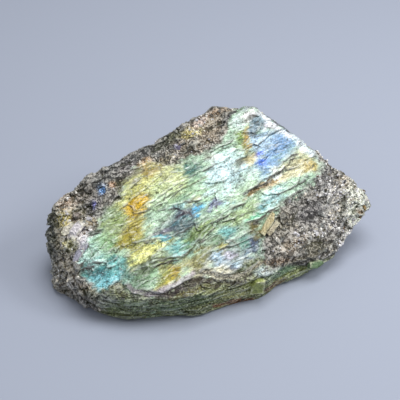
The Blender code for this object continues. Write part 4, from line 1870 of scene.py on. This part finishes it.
        seam = board.times(self.seams(board), 0.5)
        lines = board.larger(seam, board.times(texture["Joint"], 0.45))
        return board.mix(lines, colour, rgba(self.crust_dark))

    def wall(self, board: Board, texture: Sockets) -> bpy.types.NodeSocket:
        """Colour the front wall, in dark pages with short painted highlights on their edges.

        Args:
            board: The material's board.
            texture: The outputs of the mineral texture.

        Returns:
            The wall's colour.
        """
        page, crumb = texture["Page"], texture["Crumb"]
        fine = board.plus(
            board.spread(crumb, (0.34, 0.66), (-0.95, 0.95)),
            board.spread(page, (0.3, 0.7), (0.4, 1.35)),
        )
        tone = board.plus(board.spread(board.attribute("tone"), (0, 1), (-0.2, 0.2)), fine)
        colour = board.scaled(board.paint(), board.larger(tone, self.darkest))

        # Painted highlight: the tops of the pages that face up are lightened, as if lit from above.
        brow = board.spread(board.attribute("upturned"), (0.5, 0.9), (0, 0.25), smooth=True)
        brow = board.times(brow, board.spread(page, (0.5, 0.62)))
        # Painted highlights: small glints on the pages.
        flecks = board.plus(board.times(page, 0.5), board.times(crumb, 0.6))
        glint = board.larger(board.spread(flecks, (0.59, 0.66), (0, 0.75), smooth=True), brow)
        colour = board.mix(glint, colour, rgba(self.wall_glint))
        groove = board.spread(page, (0.44, 0.36), (0, 0.4), smooth=True)
        return board.mix(groove, colour, rgba(self.crust_dark))


@dataclass(frozen=True)
class GrainFinish:
    """Small feldspar and quartz grains, each with a colour of its own.

    Attributes:
        roughness: How rough the grains are.
        gloss: How strong the reflections are.
        coat: How much of a glassy coat they have.
        shade: Half the shade at the darkest and at the lightest end of each texture.
    """

    roughness: float = 0.42
    gloss: float = 0.3
    coat: float = 0.2
    shade: Span = (0.15, 0.85)

    def build(self) -> bpy.types.Material:
        """Build the finish.

        Returns:
            The material.
        """
        material, board, shader = new_material("Crust grains")
        texture = MineralTexture().use(board, 1.0)
        crumb, streak = (
            board.spread(texture[name], (0.3, 0.7), self.shade) for name in ("Crumb", "Streak")
        )
        board.feed(shader, {
            "Base Color": board.scaled(board.paint(), board.plus(crumb, streak)),
            "Roughness": self.roughness,
            "Specular IOR Level": self.gloss,
            "Coat Weight": self.coat,
        })
        return material


@dataclass(frozen=True)
class Softbox:
    """A square soft light that faces the origin.

    Attributes:
        name: Its name.
        place: Where it hangs, in metres.
        side: Its side in metres.
        power: Its power in watts.
    """

    name: str
    place: Triple
    side: float
    power: float

    def hang(self) -> None:
        """Hang the light."""
        data = bpy.data.lights.new(self.name, "AREA")
        data.size = self.side
        data.energy = self.power
        light = bpy.data.objects.new(self.name, data)
        light.location = self.place
        light.rotation_euler = (-Vector(self.place)).to_track_quat("-Z", "Y").to_euler()
        bpy.context.scene.collection.objects.link(light)


@dataclass
class Studio:
    """The floor, the soft lights and the camera.

    Attributes:
        floor_colour: The floor's colour.
        floor_half: Half the floor's side, in metres.
        floor_roughness: How rough the floor is.
        floor_gloss: How strong its reflections are.
        softboxes: The lights.
        room_colour: The colour of the even light from around.
        room_strength: How strong that light is.
        elevation: How high the camera looks down from, in radians.
        distance: How far the camera is from what it aims at, in metres.
        aim: What the camera aims at, in metres.
        lens: The camera's focal length in millimetres.
        clip: The nearest and the farthest that the camera sees, in metres.
    """

    floor_colour: Screen = (172, 179, 195)
    floor_half: float = 4.0
    floor_roughness: float = 0.7
    floor_gloss: float = 0.2
    softboxes: tuple[Softbox, ...] = (
        Softbox("softbox_over", (0.05, 0.03, 0.45), 0.26, 1.25),
        Softbox("softbox_side", (0.32, -0.02, 0.30), 0.14, 0.7),
    )
    room_colour: Screen = (234, 236, 240)
    room_strength: float = 0.4
    elevation: float = math.radians(41)
    distance: float = 0.262
    aim: Triple = (-0.0031, 0.0036, 0.015)
    lens: float = 85.0
    clip: Span = (0.01, 20.0)

    def build(self) -> None:
        """Lay the floor, hang the lights and set the camera."""
        self.lay_floor()
        for softbox in self.softboxes:
            softbox.hang()
        self.light_room()
        self.set_camera()

    def lay_floor(self) -> None:
        """Lay a plain pale floor."""
        bpy.ops.object.select_all(action="DESELECT")
        bpy.ops.mesh.primitive_plane_add(size=2 * self.floor_half, location=(0, 0, 0))
        floor = bpy.context.object
        floor.name = "floor"
        material, board, shader = new_material("Floor")
        board.feed(shader, {
            "Base Color": rgba(self.floor_colour),
            "Roughness": self.floor_roughness,
            "Specular IOR Level": self.floor_gloss,
        })
        floor.data.materials.append(material)

    def light_room(self) -> None:
        """Give the room around an even light."""
        world = bpy.data.worlds.new("Room")
        world.use_nodes = True
        background = world.node_tree.nodes["Background"]
        background.inputs["Color"].default_value = rgba(self.room_colour)
        background.inputs["Strength"].default_value = self.room_strength
        bpy.context.scene.world = world
        bpy.context.scene.view_settings.view_transform = "Standard"

    def set_camera(self) -> None:
        """Set the camera in front of the chunk, looking down on it."""
        data = bpy.data.cameras.new("camera")
        data.lens = self.lens
        data.clip_start, data.clip_end = self.clip
        camera = bpy.data.objects.new("camera", data)
        back = Vector((0, -math.cos(self.elevation), math.sin(self.elevation)))
        camera.location = Vector(self.aim) + back * self.distance
        camera.rotation_euler = (-back).to_track_quat("-Z", "Y").to_euler()
        bpy.context.scene.collection.objects.link(camera)
        bpy.context.scene.camera = camera


def main() -> None:
    """Build the chunk's looks and the studio around it."""
    logging.basicConfig(level=logging.INFO, format="%(name)s: %(message)s")
    paint = FlashPaint()
    stone = StoneBody().build(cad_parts[CHUNK_NODE])
    skin = Skin(*points_of(stone.data))
    store(stone.data, "paint", paint.paint(skin, skin.masks()))
    stone.data.materials.append(StoneFinish().build())
    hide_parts(CHUNK_NODE)
    grains = CrustGrains().build(stone, paint)
    grains.data.materials.append(GrainFinish().build())
    crystals = SetCrystals().build()
    crystals.data.materials.append(grains.data.materials[0])
    for piece in (stone, grains, crystals):
        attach(piece, "root")
        mesh = piece.data
        LOG.info("%s: %d points, %d faces", piece.name, len(mesh.vertices), len(mesh.polygons))
    Studio().build()


if __name__ == "__main__":
    main()
